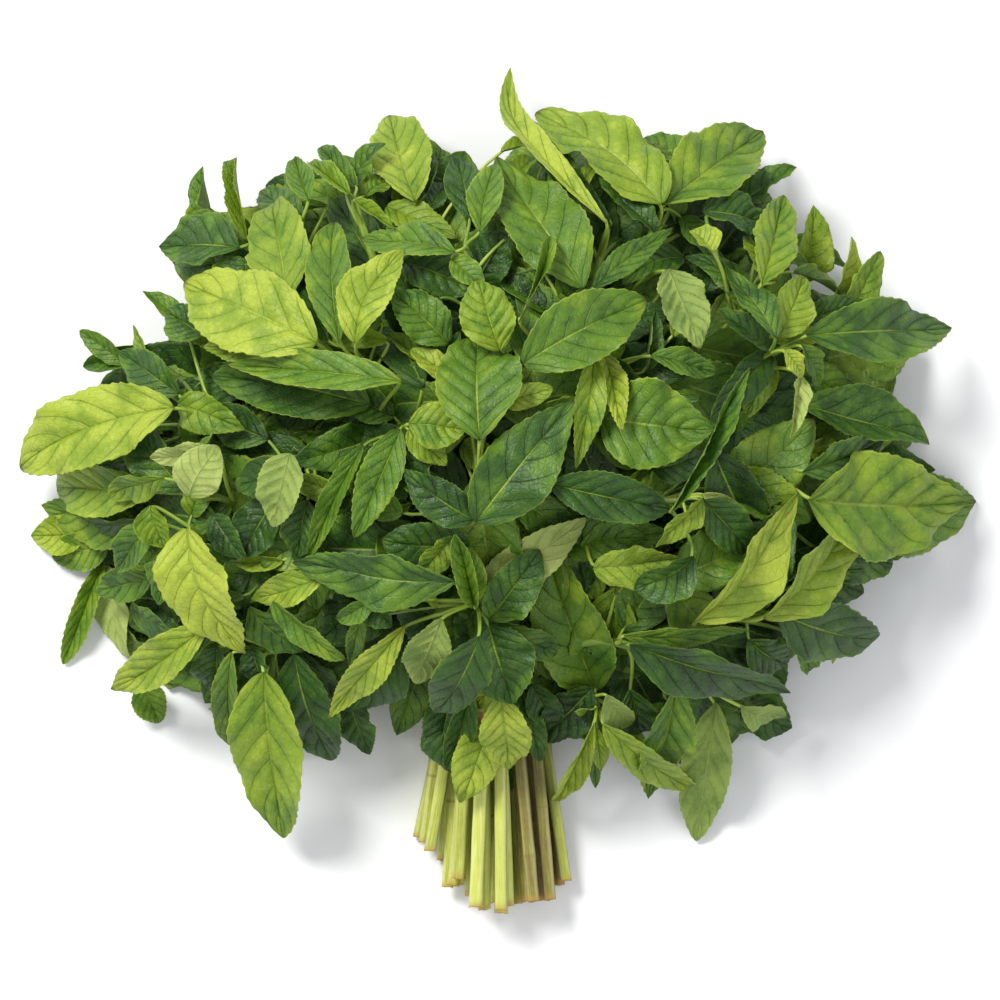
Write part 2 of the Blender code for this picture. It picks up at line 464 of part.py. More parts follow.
def stalks(tips):
    """One path for each stalk, from its cut end through the tie to its tip, kept clear of the others."""
    tie = xy(*TIE)
    ids = sorted(tips)
    elev = {k: math.atan2(tips[k][2] - 8.0, float(np.linalg.norm(tips[k][:2] - tie))) for k in ids}
    azim = {k: math.atan2(tips[k][0] - tie[0], max(2.0, tips[k][1] - tie[1] + 22.0)) for k in ids}
    rest = sorted(ids, key=lambda k: elev[k])
    paths, fixed, radii = {}, {}, {}
    for row, (count, z) in enumerate(ROWS):
        group = sorted(rest[:count], key=lambda k: azim[k])
        rest = rest[count:]
        for col, k in enumerate(group):
            off = (col - (count - 1) / 2.0) * PITCH
            p0 = np.array([tie[0] + off, tie[1], z])
            lateral = off / UNIT * 1.34
            lateral = lateral * (1.0 + 0.02 * row) + (3 if row % 2 else -3)
            reach = end_reach(lateral, row, k)
            zend = R_STALK * 0.93 + row * 4.35 - (0.0 if row == 0 else 0.35 * row)
            cut = np.array([tie[0] + lateral * UNIT, tie[1] - reach * UNIT, zend])
            tip = tips[k]
            d = float(np.linalg.norm(tip - p0))
            a = azim[k]
            e = elev[k]
            start = unit((0.75 * math.sin(a), max(0.5, math.cos(a)), 0.75 * math.sin(e)))
            end = SHOOTS[k][3]
            if end is None:
                out = unit(np.array([*(tip[:2] - xy(*DOME_C)), 0.0]))
                toward = unit(tip - p0)
                end = unit(0.6 * out + 0.7 * toward - np.array([0, 0, 0.35]))
            end = unit(end)
            upper = bezier((p0 + np.array([0, 5.0, 0]), p0 + np.array([0, 5.0, 0]) + start * 0.38 * d, tip - end * 0.36 * d, tip), 40)
            lower = np.stack([cut, 0.5 * (cut + p0) + np.array([0, 0, -0.4]), p0 + np.array([0, -5.0, 0])])
            low_pts = resample(lower, 10)
            up_pts = resample(upper, 30)
            mid = np.stack([p0])
            path = np.concatenate([low_pts, mid, up_pts])
            path[:, 2] = np.maximum(path[:, 2], R_STALK * 0.93)
            paths[k] = path
            w = np.ones(len(path))
            w[9:12] = 0.0
            w[-1] = 0.35
            fixed[k] = w
            t = np.clip((np.arange(len(path)) - 12) / 28.0, 0, 1)
            radii[k] = R_STALK * (1 - t) + R_TIP * t
    ids = sorted(paths)
    pts = np.concatenate([paths[k] for k in ids])
    rad = np.concatenate([radii[k] for k in ids])
    wgt = np.concatenate([fixed[k] for k in ids])
    own = np.concatenate([[n] * len(paths[k]) for n, k in enumerate(ids)])
    n_each = len(paths[ids[0]])
    for _ in range(90):
        diff = pts[:, None, :] - pts[None, :, :]
        dist = np.sqrt((diff ** 2).sum(2)) + 1e-9
        need = rad[:, None] + rad[None, :] + 0.75
        close = (dist < need) & (own[:, None] != own[None, :])
        if not close.any():
            break
        push = np.where(close, (need - dist) * 0.35, 0.0)[:, :, None] * diff / dist[:, :, None]
        step = push.sum(1)
        size = np.linalg.norm(step, axis=1)
        step *= (np.minimum(size, 0.8) / np.maximum(size, 1e-9))[:, None]
        step *= wgt[:, None]
        moved = (pts + step).reshape(len(ids), n_each, 3)
        smooth = moved.copy()
        smooth[:, 1:-1] = 0.25 * moved[:, :-2] + 0.5 * moved[:, 1:-1] + 0.25 * moved[:, 2:]
        w3 = wgt.reshape(len(ids), n_each, 1)
        moved = np.where(w3 > 0.9, 0.6 * moved + 0.4 * smooth, moved)
        pts = moved.reshape(-1, 3)
        pts[:, 2] = np.maximum(pts[:, 2], rad * 0.93)
    out = pts.reshape(len(ids), n_each, 3)
    return {k: (out[n], radii[k]) for n, k in enumerate(ids)}


def split_stalk(path, radii):
    """(bare stalk, leafy axis), each (points, radii), with the clearance between their ends."""
    up = path[10:]
    d = np.concatenate([[0], np.cumsum(np.linalg.norm(np.diff(up, axis=0), axis=1))])
    cut = min(BARE, 0.4 * d[-1])

    def at(s):
        return np.array([np.interp(s, d, up[:, i]) for i in range(3)]), float(np.interp(s, d, radii[10:]))
    keep = int((d < cut - 1.0).sum())
    a, ra = at(cut)
    b, rb = at(cut + GAP + 0.05)
    bare = np.concatenate([path[:10 + keep], a[None]])
    bare_r = np.concatenate([radii[:10 + keep], [ra]])
    first = int((d <= cut + 1.0).sum())
    leafy = np.concatenate([b[None], up[first:]])
    leafy_r = np.concatenate([[rb], radii[10 + first:]])
    return (bare, bare_r), (leafy, leafy_r)


def nearest(paths, point):
    """The nearest place on some paths: (distance, path number, position along it, point)."""
    best = None
    for n, path in enumerate(paths):
        a, b = path[:-1], path[1:]
        ab = b - a
        t = np.clip(((point - a) * ab).sum(1) / np.maximum((ab ** 2).sum(1), 1e-9), 0, 1)
        q = a + ab * t[:, None]
        d = np.linalg.norm(q - point, axis=1)
        i = int(d.argmin())
        if best is None or d[i] < best[0]:
            best = (float(d[i]), n, i + float(t[i]), q[i])
    return best


def attach(leaf, paths):
    """A petiole or a side twig from the shoot's own axis to the leaf's base."""
    dist, n, where, q = nearest(paths, leaf["base"])
    path = paths[n]
    i = min(int(where), len(path) - 2)
    along = unit(path[i + 1] - path[i])
    dirn = unit(leaf["tip"] - leaf["base"])
    base = leaf["base"]
    if dist > 10.0:
        back = max(0.0, where - min(3.0, dist / 7.0))
        i = min(int(back), len(path) - 2)
        q = path[i] + (path[i + 1] - path[i]) * (back - i)
        along = unit(path[i + 1] - path[i])
    q = q - along * (0.4 + 1.2 * rnd(leaf["key"], "q0")) + 0.35 * np.array([rnd(leaf["key"], "q%d" % m) - 0.5 for m in (1, 2, 3)])
    d = float(np.linalg.norm(base - q))
    stem = bezier((q, q + along * 0.3 * d, base - dirn * 0.35 * d, base + dirn * min(2.0, 0.1 * leaf["w"])), 9 if d > 8 else 6)
    stem[:, 2] = np.maximum(stem[:, 2], 1.2)
    leaf["stem"] = stem
    leaf["stem_r"] = 0.55 + 0.022 * min(d, 30.0)
    return stem, d


def covered(low):
    """Where the outer leaves hide what lies below them, grown a little to take in the gaps between them."""
    mask = low < 900.0
    wide = mask.copy()
    for _ in range(3):
        grown = wide.copy()
        grown[1:] |= wide[:-1]
        grown[:-1] |= wide[1:]
        grown[:, 1:] |= wide[:, :-1]
        grown[:, :-1] |= wide[:, 1:]
        wide = grown
    for _ in range(3):
        less = wide.copy()
        less[1:] &= wide[:-1]
        less[:-1] &= wide[1:]
        less[:, 1:] &= wide[:, :-1]
        less[:, :-1] &= wide[:, 1:]
        wide = less
    return wide


def fit_inside(leaf, low, mask):
    """Shortens and lowers an inner leaf until the outer ones hide it; False if it can't be."""
    for _ in range(5):
        pts, _n = blade(leaf, COARSE_U, COARSE_V, False)
        i, j = cells(pts)
        if mask[i, j].mean() > 0.97:
            break
        leaf["tip"] = leaf["base"] + (leaf["tip"] - leaf["base"]) * 0.82
        leaf["w"] *= 0.88
    else:
        return False
    z0 = float(leaf["base"][2])
    tuck_under(leaf, low, 1.4, 60.0)
    settle(leaf)
    pts, _n = blade(leaf, COARSE_U, COARSE_V, False)
    i, j = cells(pts)
    length = float(np.linalg.norm(leaf["tip"] - leaf["base"]))
    return z0 - float(leaf["base"][2]) < 12.0 and length > 9.0 and float((pts[..., 2] - low[i, j]).max()) < 3.0


def inner_leaves(shoots, low):
    """The opposite pairs along each leafy axis, and the skirt of low leaves round the bunch."""
    mask = covered(low)
    made = []
    for k in sorted(shoots):
        pts, _r = shoots[k]["axis"]
        d = np.concatenate([[0], np.cumsum(np.linalg.norm(np.diff(pts, axis=0), axis=1))])
        s, j = 3.0, 0
        while s < d[-1] - 4.0:
            p = np.array([np.interp(s, d, pts[:, i]) for i in range(3)])
            q = np.array([np.interp(s + 2.0, d, pts[:, i]) for i in range(3)])
            t = unit(q - p)
            e1 = unit(np.cross(t, (0.0, 0.0, 1.0)))
            e2 = np.cross(e1, t)
            a0 = 3.14 * rnd("a", k) + (j % 2) * math.pi / 2
            for m in (0, 1):
                key = "i%d_%d_%d" % (k, j, m)
                a = a0 + m * math.pi + 0.5 * (rnd(key, 1) - 0.5)
                th = math.radians(48 + 26 * rnd(key, 2))
                dirn = unit(math.cos(th) * t + math.sin(th) * (math.cos(a) * e1 + math.sin(a) * e2) - np.array([0, 0, 0.22]))
                length = 24 + 15 * rnd(key, 3)
                base = p + dirn * 4.0
                tip = base + dirn * length
                tip[2] = max(tip[2], 2.0)
                ref = unit((0, 0, 1.0) + 0.5 * dome_normal(*tip[:2]))
                leaf = make_leaf(k, key, base, tip, length * (0.44 + 0.1 * rnd(key, 4)), 0.1 + 0.35 * rnd(key, 5), ref, {})
                leaf["hero"] = False
                leaf["layer"] = 5
                if fit_inside(leaf, low, mask):
                    made.append(leaf)
            s += 11.5 + 3.0 * rnd("sp", k, j)
            j += 1
    c = xy(*DOME_C)
    a = np.array(DOME_A) * UNIT
    tier = ((46, 0.70, 0.98, 7.0, 2.0), (40, 0.64, 0.92, 22.0, 7.0), (30, 0.5, 0.74, 14.0, 2.5), (22, 0.45, 0.7, 34.0, 18.0))
    for n, (count, r0, r1, z0, z1) in enumerate(tier):
        for m in range(count):
            key = "k%d_%d" % (n, m)
            ang = 2 * math.pi * (m + 0.6 * rnd(key, 0)) / count
            u0 = np.array([math.cos(ang), math.sin(ang)])
            turn = ang + 0.7 * (rnd(key, 6) - 0.5)
            u1 = np.array([math.cos(turn), math.sin(turn)])
            if math.sin(ang) < -0.72 and abs(math.cos(ang)) < 0.45 and z0 < 30:
                continue
            ax = a[0] if u0[0] < 0 else a[1]
            ay = a[2] if u0[1] > 0 else a[3]
            b = c + u0 * (ax, ay) * (r0 + 0.06 * (rnd(key, 1) - 0.5))
            e = b + unit(u1 * (ax, ay)) * (r1 - r0) * 0.5 * (ax + ay) * (0.9 + 0.35 * rnd(key, 2))
            base = np.array([*b, z0 + 4 * rnd(key, 3)])
            tip = np.array([*e, z1 + 3 * rnd(key, 4)])
            length = float(np.linalg.norm(tip - base))
            best = None
            for k in sorted(shoots):
                dist = nearest([shoots[k]["axis"][0]], base)[0]
                if best is None or dist < best[0]:
                    best = (dist, k)
            if best[0] > 42.0:
                continue
            ref = unit(np.array([u0[0] * 0.9, u0[1] * 0.9, 0.9]))
            leaf = make_leaf(best[1], key, base, tip, length * (0.48 + 0.14 * rnd(key, 5)), 0.15 + 0.5 * rnd(key, 7), ref, dict(b=0.1))
            leaf["hero"] = False
            leaf["layer"] = 4
            leaf["skirt"] = True
            if fit_inside(leaf, low, mask):
                made.append(leaf)
    return made


def plan():
    """Everything in the bunch: stalks, leafy axes, leaves with their petioles."""
    low = np.full((NCELL, NCELL), 1e3)
    heroes = outer_leaves(low)
    tips = {}
    for k, (px, py, under, _) in SHOOTS.items():
        t = xy(px, py)
        mine = [l for l in heroes if l["shoot"] == k]
        near = sorted(mine, key=lambda l: float(np.linalg.norm(l["base"][:2] - t)))[:3]
        z = min(float(np.mean([l["base"][2] for l in near])), float(dome(*t))) - under
        tips[k] = np.array([*t, max(6.0, z)])
    raw = stalks(tips)
    shoots = {}
    for k in sorted(raw):
        bare, leafy = split_stalk(*raw[k])
        shoots[k] = dict(bare=bare, axis=leafy)
    inner = inner_leaves(shoots, low)
    leaves = heroes + inner
    for leaf in leaves:
        attach(leaf, [shoots[leaf["shoot"]]["axis"][0]])
    return leaves, shoots


def tie_outline(shoots, grow, count):
    """The outline of a band round the stalks at the tie, in X and Z, grown outwards."""
    tie = xy(*TIE)
    centres = []
    for k in sorted(shoots):
        pts, _r = shoots[k]["bare"]
        i = int(np.abs(pts[:, 1] - tie[1]).argmin())
        centres.append((pts[i, 0], pts[i, 2]))
    centres = np.array(centres)
    out = []
    for n in range(count):
        th = 2 * math.pi * n / count
        e = 0.02
        h = [float((centres @ (math.cos(x), math.sin(x))).max()) for x in (th - e, th, th + e)]
        g = (h[2] - h[0]) / (2 * e)
        r = h[1] + R_STALK + grow
        out.append((r * math.cos(th) - g * math.sin(th), r * math.sin(th) + g * math.cos(th)))
    return np.array(out), tie[1]


# ---------------------------------------------------------------- solids
LEAF_HALF = 0.42       # half the thickness of a blade at its midrib, mm
CLEAR = 0.36           # how much a leaf is grown when it is tested against its neighbours, mm
BAND_THICK = 1.0       # mm
BAND_WIDE = 5.0        # along the stalks, mm
AXIS_SIDES = 6
STALK_SIDES = 6
INNER_PER_SHOOT = 1
SKIRT_EVERY = 3
HERO_TRIES = ((0, 0), (0, -2), (0, 2.5), (-2, -2), (2, 2), (0, -5), (0, 5), (-4, -4), (4, 4), (0, 9), (0, -9))
ROOT_TRIES = (0, -3, 3, -6, 6, -10, 10, -15, 15, -21)
R_CAD = 1.95           # radius of the solid stalks, mm
SMALLEST = 5.0         # a blade narrower than this, mm, has no solid
WIDTH_TRIES = (1.0, 0.75, 0.5)


def tube(path, radii, sides, first=None, last=None):
    """Vertices and faces of a closed tube of flat-sided section along a path."""
    path = np.asarray(path, float)
    tangents = np.gradient(path, axis=0)
    if first is not None:
        tangents[0] = first
    if last is not None:
        tangents[-1] = last
    verts, faces = [], []
    for p, r, t in zip(path, radii, tangents):
        t = unit(t)
        e1 = unit(np.cross(t, (0.0, 0.0, 1.0)))
        e2 = np.cross(e1, t)
        for n in range(sides):
            a = 2 * math.pi * (n + 0.5) / sides
            verts.append(p + r * math.cos(a) * e1 + r * math.sin(a) * e2)
    for i in range(len(path) - 1):
        for n in range(sides):
            m = (n + 1) % sides
            faces.append((i * sides + n, i * sides + m, (i + 1) * sides + m, (i + 1) * sides + n))
    faces.append(tuple(reversed(range(sides))))
    last = (len(path) - 1) * sides
    faces.append(tuple(last + n for n in range(sides)))
    return np.array(verts), faces


def thin(path, radii, step):
    """The path at about one point every step millimetres."""
    d = np.concatenate([[0], np.cumsum(np.linalg.norm(np.diff(path, axis=0), axis=1))])
    n = max(2, int(round(d[-1] / step)) + 1)
    s = np.linspace(0, d[-1], n)
    return (np.stack([np.interp(s, d, path[:, i]) for i in range(3)], 1), np.interp(s, d, radii))


def leaf_solid(leaf, grow, skip=0.0):
    """A blade with its petiole as one closed solid: a diamond section drawn along the petiole and the midrib.

    skip leaves out that share of the petiole's length at its root."""
    half = LEAF_HALF + grow
    us = (0.3, 0.64) if leaf["w"] > 9.0 else (0.42,)
    flat = dict(leaf)
    flat["fold"] = min(leaf["fold"], math.radians(32))
    flat["curl"] = 0.0
    pts, nrm = blade(flat, (0.0,) + us + (1.0,), (-1.0, 0.0, 1.0), False)
    root, base = leaf["root"], leaf["base"]
    d = float(np.linalg.norm(base - root))
    count = 2 if d < 16 else 3
    f = np.linspace(skip, 1.0, count)[:, None]
    cs = root + (base - root) * f + np.array([0, 0, 0.10 * d]) * (f * (1 - f)) * 4 * 0.5
    r = leaf["stem_r"] + grow
    s1 = unit(pts[1, 2] - pts[1, 0])
    rings = []
    for i in range(count):
        t = unit(cs[min(i + 1, count - 1)] - cs[max(i - 1, 0)])
        s = unit(s1 - t * float(s1 @ t))
        n = np.cross(s, t)
        if float(n @ nrm[1, 1]) < 0:
            n = -n
        rings.append([cs[i] + s * r, cs[i] + n * r, cs[i] - s * r, cs[i] - n * r])
    for i in range(1, len(us) + 1):
        left, mid, right = pts[i]
        s = unit(right - left)
        n = unit(nrm[i, 1])
        taper = 1.0 if i == 1 else 0.85
        rings.append([right + s * grow, mid + n * half * taper, left - s * grow, mid - n * half * taper])
    verts = [p for ring in rings for p in ring]
    tip = pts[-1, 1] + unit(leaf["tip"] - leaf["base"]) * grow
    verts.append(tip)
    verts = np.array(verts)
    if grow == 0:
        verts[:, 2] = np.maximum(verts[:, 2], 0.0)
        for i in range(len(rings)):
            top, bottom = 4 * i + 1, 4 * i + 3
            if verts[top, 2] - verts[bottom, 2] < 0.3 and verts[bottom, 2] < 0.05:
                verts[top, 2] = verts[bottom, 2] + 0.7
                verts[4 * i, 2] = max(verts[4 * i, 2], 0.3)
                verts[4 * i + 2, 2] = max(verts[4 * i + 2, 2], 0.3)
        verts[-1, 2] = max(verts[-1, 2], 0.25)
    faces = [(3, 2, 1), (3, 1, 0)]
    # Both skins are split along matching diagonals, so that a thin twisted blade never crosses itself.
    for i in range(len(rings) - 1):
        right, top, left, under = (4 * i + n for n in range(4))
        right2, top2, left2, under2 = (4 * i + 4 + n for n in range(4))
        faces += [(right, top, top2), (right, top2, right2), (under, right, under2), (right, right2, under2),
                  (top, left, top2), (left, left2, top2), (left, under, under2), (left, under2, left2)]
    last = 4 * (len(rings) - 1)
    for n in range(4):
        faces.append((last + n, last + (n + 1) % 4, len(verts) - 1))
    return verts, faces


def root_at(leaf, axis, radii, arc, s):
    """Puts a leaf's root on the axis at the length s along it; False if the petiole would run along the axis."""
    root = np.array([np.interp(s, arc, axis[:, i]) for i in range(3)])
    r = float(np.interp(s, arc, radii))
    ahead = np.array([np.interp(s + 1.0, arc, axis[:, i]) for i in range(3)])
    behind = np.array([np.interp(s - 1.0, arc, axis[:, i]) for i in range(3)])
    along = unit(ahead - behind)
    way = leaf["base"] - root
    d = float(np.linalg.norm(way))
    if d < r + 1.6:
        return False
    sine = float(np.linalg.norm(np.cross(way / d, along)))
    blade_way = unit(leaf["tip"] - leaf["base"])
    if sine < 0.42 or float(blade_way @ way) / d < 0.05:
        return False
    leaf["root"] = root
    leaf["stem_r"] = min(0.85, 0.5 + 0.02 * d)
    leaf["skip"] = min(0.9, (r + 1.0) / (d * sine))
    return True


def volume(verts, faces):
    total = 0.0
    for f in faces:
        for i in range(1, len(f) - 1):
            total += float(np.dot(verts[f[0]], np.cross(verts[f[i]], verts[f[i + 1]]))) / 6.0
    return total


def outward(verts, faces):
    return (verts, faces) if volume(verts, faces) > 0 else (verts, [tuple(reversed(f)) for f in faces])


def crosses_itself(verts, faces):
    """Whether any two faces of a solid that share no corner meet."""
    tree = BVHTree.FromPolygons([Vector(v) for v in verts], faces, epsilon=0.0)
    sets = [set(f) for f in faces]
    return any(i < j and not (sets[i] & sets[j]) for i, j in tree.overlap(tree))


class Crowd:
    """The solids placed so far, to keep new ones clear of them."""

    def __init__(self):
        self.items = []

    def add(self, node, verts, faces):
        tree = BVHTree.FromPolygons([Vector(v) for v in verts], faces, epsilon=0.0)
        self.items.append((node, verts.min(0), verts.max(0), tree))

    def free(self, node, verts, faces):
        low, high = verts.min(0), verts.max(0)
        tree = None
        for other, lo, hi, placed in self.items:
            if other == node or (lo > high).any() or (hi < low).any():
                continue
            if tree is None:
                tree = BVHTree.FromPolygons([Vector(v) for v in verts], faces, epsilon=0.0)
            if tree.overlap(placed):
                return False
        return True


def moved(leaf, db, dt, scale):
    new = dict(leaf)
    new["base"] = leaf["base"] + np.array([0, 0, db])
    new["tip"] = leaf["tip"] + np.array([0, 0, dt])
    new["w"] = leaf["w"] * scale
    settle(new)
    return new


def build_plan():
    leaves, shoots = plan()
    crowd = Crowd()
    own = {}
    pieces = {}
    axes = {}
    for k in sorted(shoots):
        bare, bare_r = shoots[k]["bare"]
        axis, axis_r = shoots[k]["axis"]
        joint = unit(axis[0] - bare[-1])
        p = np.concatenate([bare[[0, 3, 6, 9]], bare[[11]], bare[[-1]]])
        r = np.array([R_CAD] * 5 + [bare_r[-1] * R_CAD / R_STALK])
        pieces["stem_%02d" % k] = outward(*tube(p, r, STALK_SIDES, last=joint))
        p, r = thin(axis, axis_r * R_CAD / R_STALK, 18.0)
        pieces["shoot_%02d" % k] = outward(*tube(p, r, AXIS_SIDES, first=joint))
        arc = np.concatenate([[0], np.cumsum(np.linalg.norm(np.diff(p, axis=0), axis=1))])
        axes[k] = (p, r, arc)
        own[k] = Crowd()
        own[k].add("axis", *pieces["shoot_%02d" % k])
    count = 28
    outer, y = tie_outline(shoots, GAP + 0.05 + BAND_THICK, count)
    inner, _ = tie_outline(shoots, GAP + 0.05, count)
    verts = np.array([(x, yy, z) for yy in (y - BAND_WIDE / 2, y + BAND_WIDE / 2) for ring in (outer, inner) for x, z in ring])
    n = count
    faces = []
    for i in range(n):
        j = (i + 1) % n
        faces += [(i, j, 2 * n + j, 2 * n + i), (n + j, n + i, 3 * n + i, 3 * n + j),
                  (j, i, n + i, n + j), (2 * n + i, 2 * n + j, 3 * n + j, 3 * n + i)]
    pieces["band"] = outward(verts, faces)
    for name, (v, f) in pieces.items():
        crowd.add(name, v, f)
    blades = {k: [] for k in shoots}
    counts = {"hero": 0, "inner": 0, "skirt": 0, "left out": 0}
    inner_used = {k: 0 for k in shoots}
    order = [l for l in leaves if l["hero"]] + [l for l in leaves if l.get("skirt")] + [l for l in leaves if not l["hero"] and not l.get("skirt")]
    seen = 0
    for leaf in order:
        k = leaf["shoot"]
        name = "shoot_%02d" % k
        p, r, arc = axes[k]
        if leaf.get("skirt"):
            seen += 1
            if seen % SKIRT_EVERY:
                continue
        elif not leaf["hero"] and inner_used[k] >= INNER_PER_SHOOT:
            continue
        if leaf["hero"] and leaf["w"] < SMALLEST:
            counts["left out"] += 1
            continue
        done = False
        for scale in WIDTH_TRIES if leaf["hero"] else (1.0, 0.7):
            for db, dt in HERO_TRIES if leaf["hero"] else HERO_TRIES[:5]:
                new = moved(leaf, db, dt, scale)
                _d, _n, where, _q = nearest([p], new["base"])
                i = min(int(where), len(p) - 2)
                best = arc[i] + (where - i) * (arc[i + 1] - arc[i])
                for ds in ROOT_TRIES:
                    s = best + ds
                    if s < 1.6 or s > arc[-1] - 1.2 or not root_at(new, p, r, arc, s):
                        continue
                    v, f = leaf_solid(new, CLEAR, 0.0)
                    if not crowd.free(name, v, f):
                        continue
                    vs, fs = leaf_solid(new, CLEAR, new["skip"])
                    if not own[k].free("leaf", vs, fs):
                        continue
                    v, f = outward(*leaf_solid(new, 0.0))
                    if crosses_itself(v, f):
                        continue
                    crowd.add(name, v, f)
                    own[k].add("blade", *leaf_solid(new, 0.0, new["skip"] * 0.7))
                    blades[k].append((v, f))
                    done = True
                    break
                if done:
                    break
            if done:
                break
        kind = "hero" if leaf["hero"] else "skirt" if leaf.get("skirt") else "inner"
        if done:
            counts[kind] += 1
            if kind == "inner":
                inner_used[k] += 1
        elif leaf["hero"]:
            counts["left out"] += 1
    return pieces, blades, counts


def material(name, colour, rough):
    mat = bpy.data.materials.new(name)
    mat.use_nodes = True
    shader = mat.node_tree.nodes["Principled BSDF"]
    shader.inputs["Base Color"].default_value = (*colour, 1.0)
    shader.inputs["Roughness"].default_value = rough
    shader.inputs["Metallic"].default_value = 0.0
    return mat


def solid(name, verts, faces, origin, mat, helper=False):
    """One mesh object in metres with its own origin."""
    bm = bmesh.new()
    made = [bm.verts.new((v - origin) / 1000.0) for v in verts]
    for f in faces:
        bm.faces.new([made[i] for i in f])
    bmesh.ops.triangulate(bm, faces=[f for f in bm.faces if len(f.verts) > 3])
    bmesh.ops.recalc_face_normals(bm, faces=bm.faces[:])
    mesh = bpy.data.meshes.new(name)
    bm.to_mesh(mesh)
    bm.free()
    mesh.materials.append(mat)
    obj = bpy.data.objects.new(name, mesh)
    obj.location = [float(c) / 1000.0 for c in origin]
    if helper:
        obj.hide_render = True
        obj.display_type = "WIRE"
    return obj


def main():
    for obj in list(bpy.data.objects):
        bpy.data.objects.remove(obj, do_unlink=True)
    scene = bpy.context.scene
    scene.unit_settings.system = "METRIC"
    pieces, blades, counts = build_plan()
    every = [v for v, _f in pieces.values()] + [v for group in blades.values() for v, _f in group]
    low = np.min([v.min(0) for v in every], axis=0)
    high = np.max([v.max(0) for v in every], axis=0)
    shift = np.array([0.5 * (low[0] + high[0]), 0.5 * (low[1] + high[1]), low[2]])
    root = bpy.data.objects.new("mint_bunch", None)
    scene.collection.objects.link(root)
    for name in sorted(pieces):
        verts, faces = pieces[name]
        verts = verts - shift
        k = int(name[-2:]) if name != "band" else 0
        tone = rnd("tone", name)
        if name == "band":
            mat = material(name + "_rubber", (0.42, 0.30, 0.14), 0.6)
        elif name.startswith("stem"):
            mat = material(name + "_stalk", (0.42 + 0.14 * tone, 0.50 + 0.05 * tone, 0.14), 0.5)
        else:
            mat = material(name + "_leaf", (0.07 + 0.14 * tone, 0.20 + 0.18 * tone, 0.03), 0.5)
        obj = solid(name, verts, faces, verts[0], mat)
        scene.collection.objects.link(obj)
        obj.parent = root
        if name.startswith("shoot"):
            group = bpy.data.collections.new(name + "_leaves")
            scene.collection.children.link(group)
            group.hide_render = True
            for n, (v, f) in enumerate(blades[k]):
                leaf = solid("%s_leaf_%02d" % (name, n + 1), v - shift, f, v[0] - shift, mat, helper=True)
                group.objects.link(leaf)
            if blades[k]:
                union = obj.modifiers.new("leaves", "BOOLEAN")
                union.operation = "UNION"
                union.operand_type = "COLLECTION"
                union.collection = group
                union.solver = "EXACT"
    print("leaves in the solids:", counts, "triangles of leaves:", sum(len(v) * 2 - 4 for g in blades.values() for v, _f in g))
    print("shift", [round(float(c), 3) for c in shift])


main()
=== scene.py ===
"""The looks of a bunch of mint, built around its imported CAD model."""

import math

import bpy
import numpy as np
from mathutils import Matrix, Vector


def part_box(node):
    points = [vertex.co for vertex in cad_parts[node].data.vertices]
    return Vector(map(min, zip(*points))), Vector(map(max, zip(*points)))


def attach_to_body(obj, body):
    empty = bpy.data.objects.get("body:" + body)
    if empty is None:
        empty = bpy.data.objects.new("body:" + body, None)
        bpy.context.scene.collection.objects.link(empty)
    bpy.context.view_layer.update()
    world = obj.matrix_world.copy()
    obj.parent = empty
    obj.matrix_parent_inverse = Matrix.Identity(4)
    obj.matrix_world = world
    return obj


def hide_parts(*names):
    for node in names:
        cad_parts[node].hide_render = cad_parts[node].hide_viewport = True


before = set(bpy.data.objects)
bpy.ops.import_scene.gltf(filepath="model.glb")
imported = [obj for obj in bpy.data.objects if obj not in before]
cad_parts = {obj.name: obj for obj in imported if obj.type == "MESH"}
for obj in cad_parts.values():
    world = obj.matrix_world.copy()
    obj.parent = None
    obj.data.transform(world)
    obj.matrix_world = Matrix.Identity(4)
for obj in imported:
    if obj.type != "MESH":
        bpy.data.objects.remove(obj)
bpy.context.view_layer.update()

# ---------------------------------------------------------------------------
# The bunch itself: the same rules that shape the CAD model, in millimetres.
# ---------------------------------------------------------------------------
WORLD_LIGHT = 0.72       # strength of the even light from all round
KEY_POWER = 48.0         # W, the soft light from the upper left
FILL_POWER = 6.5         # W, the weak light from the lower right
CAM_FAR = 2200.0         # mm from the camera to the bunch
CAM_TILT = 0.0           # degrees from straight down
# ---------------------------------------------------------------- drafting grid
UNIT = 0.27            # millimetres per drafting unit
TIE = (492.0, 722.0)   # where the bunch is tied, in drafting units
RIM = 15.0             # height of the leaf shell at its rim, mm
CROWN = 74.0           # further height of the shell at its crown, mm
DOME_C = (492.0, 448.0)
DOME_A = (448.0, 462.0, 372.0, 352.0)   # left, right, far, near
ROWS = ((7, 4.2), (7, 8.75), (6, 13.3), (4, 17.85), (2, 22.4))
PITCH = 4.72           # stalk spacing at the tie, mm
R_STALK = 2.1          # stalk radius at the tie, mm
R_TIP = 1.25           # stalk radius at a shoot's tip, mm
BARE = 24.0            # bare stalk above the tie, mm
GAP = 0.3              # clearance between touching pieces, mm


def xy(px, py):
    return np.array([(px - 500.0) * UNIT, (500.0 - py) * UNIT])


def unit(a):
    a = np.asarray(a, float)
    return a / max(1e-9, float(np.linalg.norm(a)))


def rnd(*key):
    """A repeatable number from 0 to 1 for a key."""
    h = 2166136261
    for k in key:
        for c in str(k):
            h = ((h ^ ord(c)) * 16777619) & 0xFFFFFFFF
    h ^= h >> 15
    h = (h * 2246822519) & 0xFFFFFFFF
    h ^= h >> 13
    h = (h * 3266489917) & 0xFFFFFFFF
    h ^= h >> 16
    return h / 4294967296.0


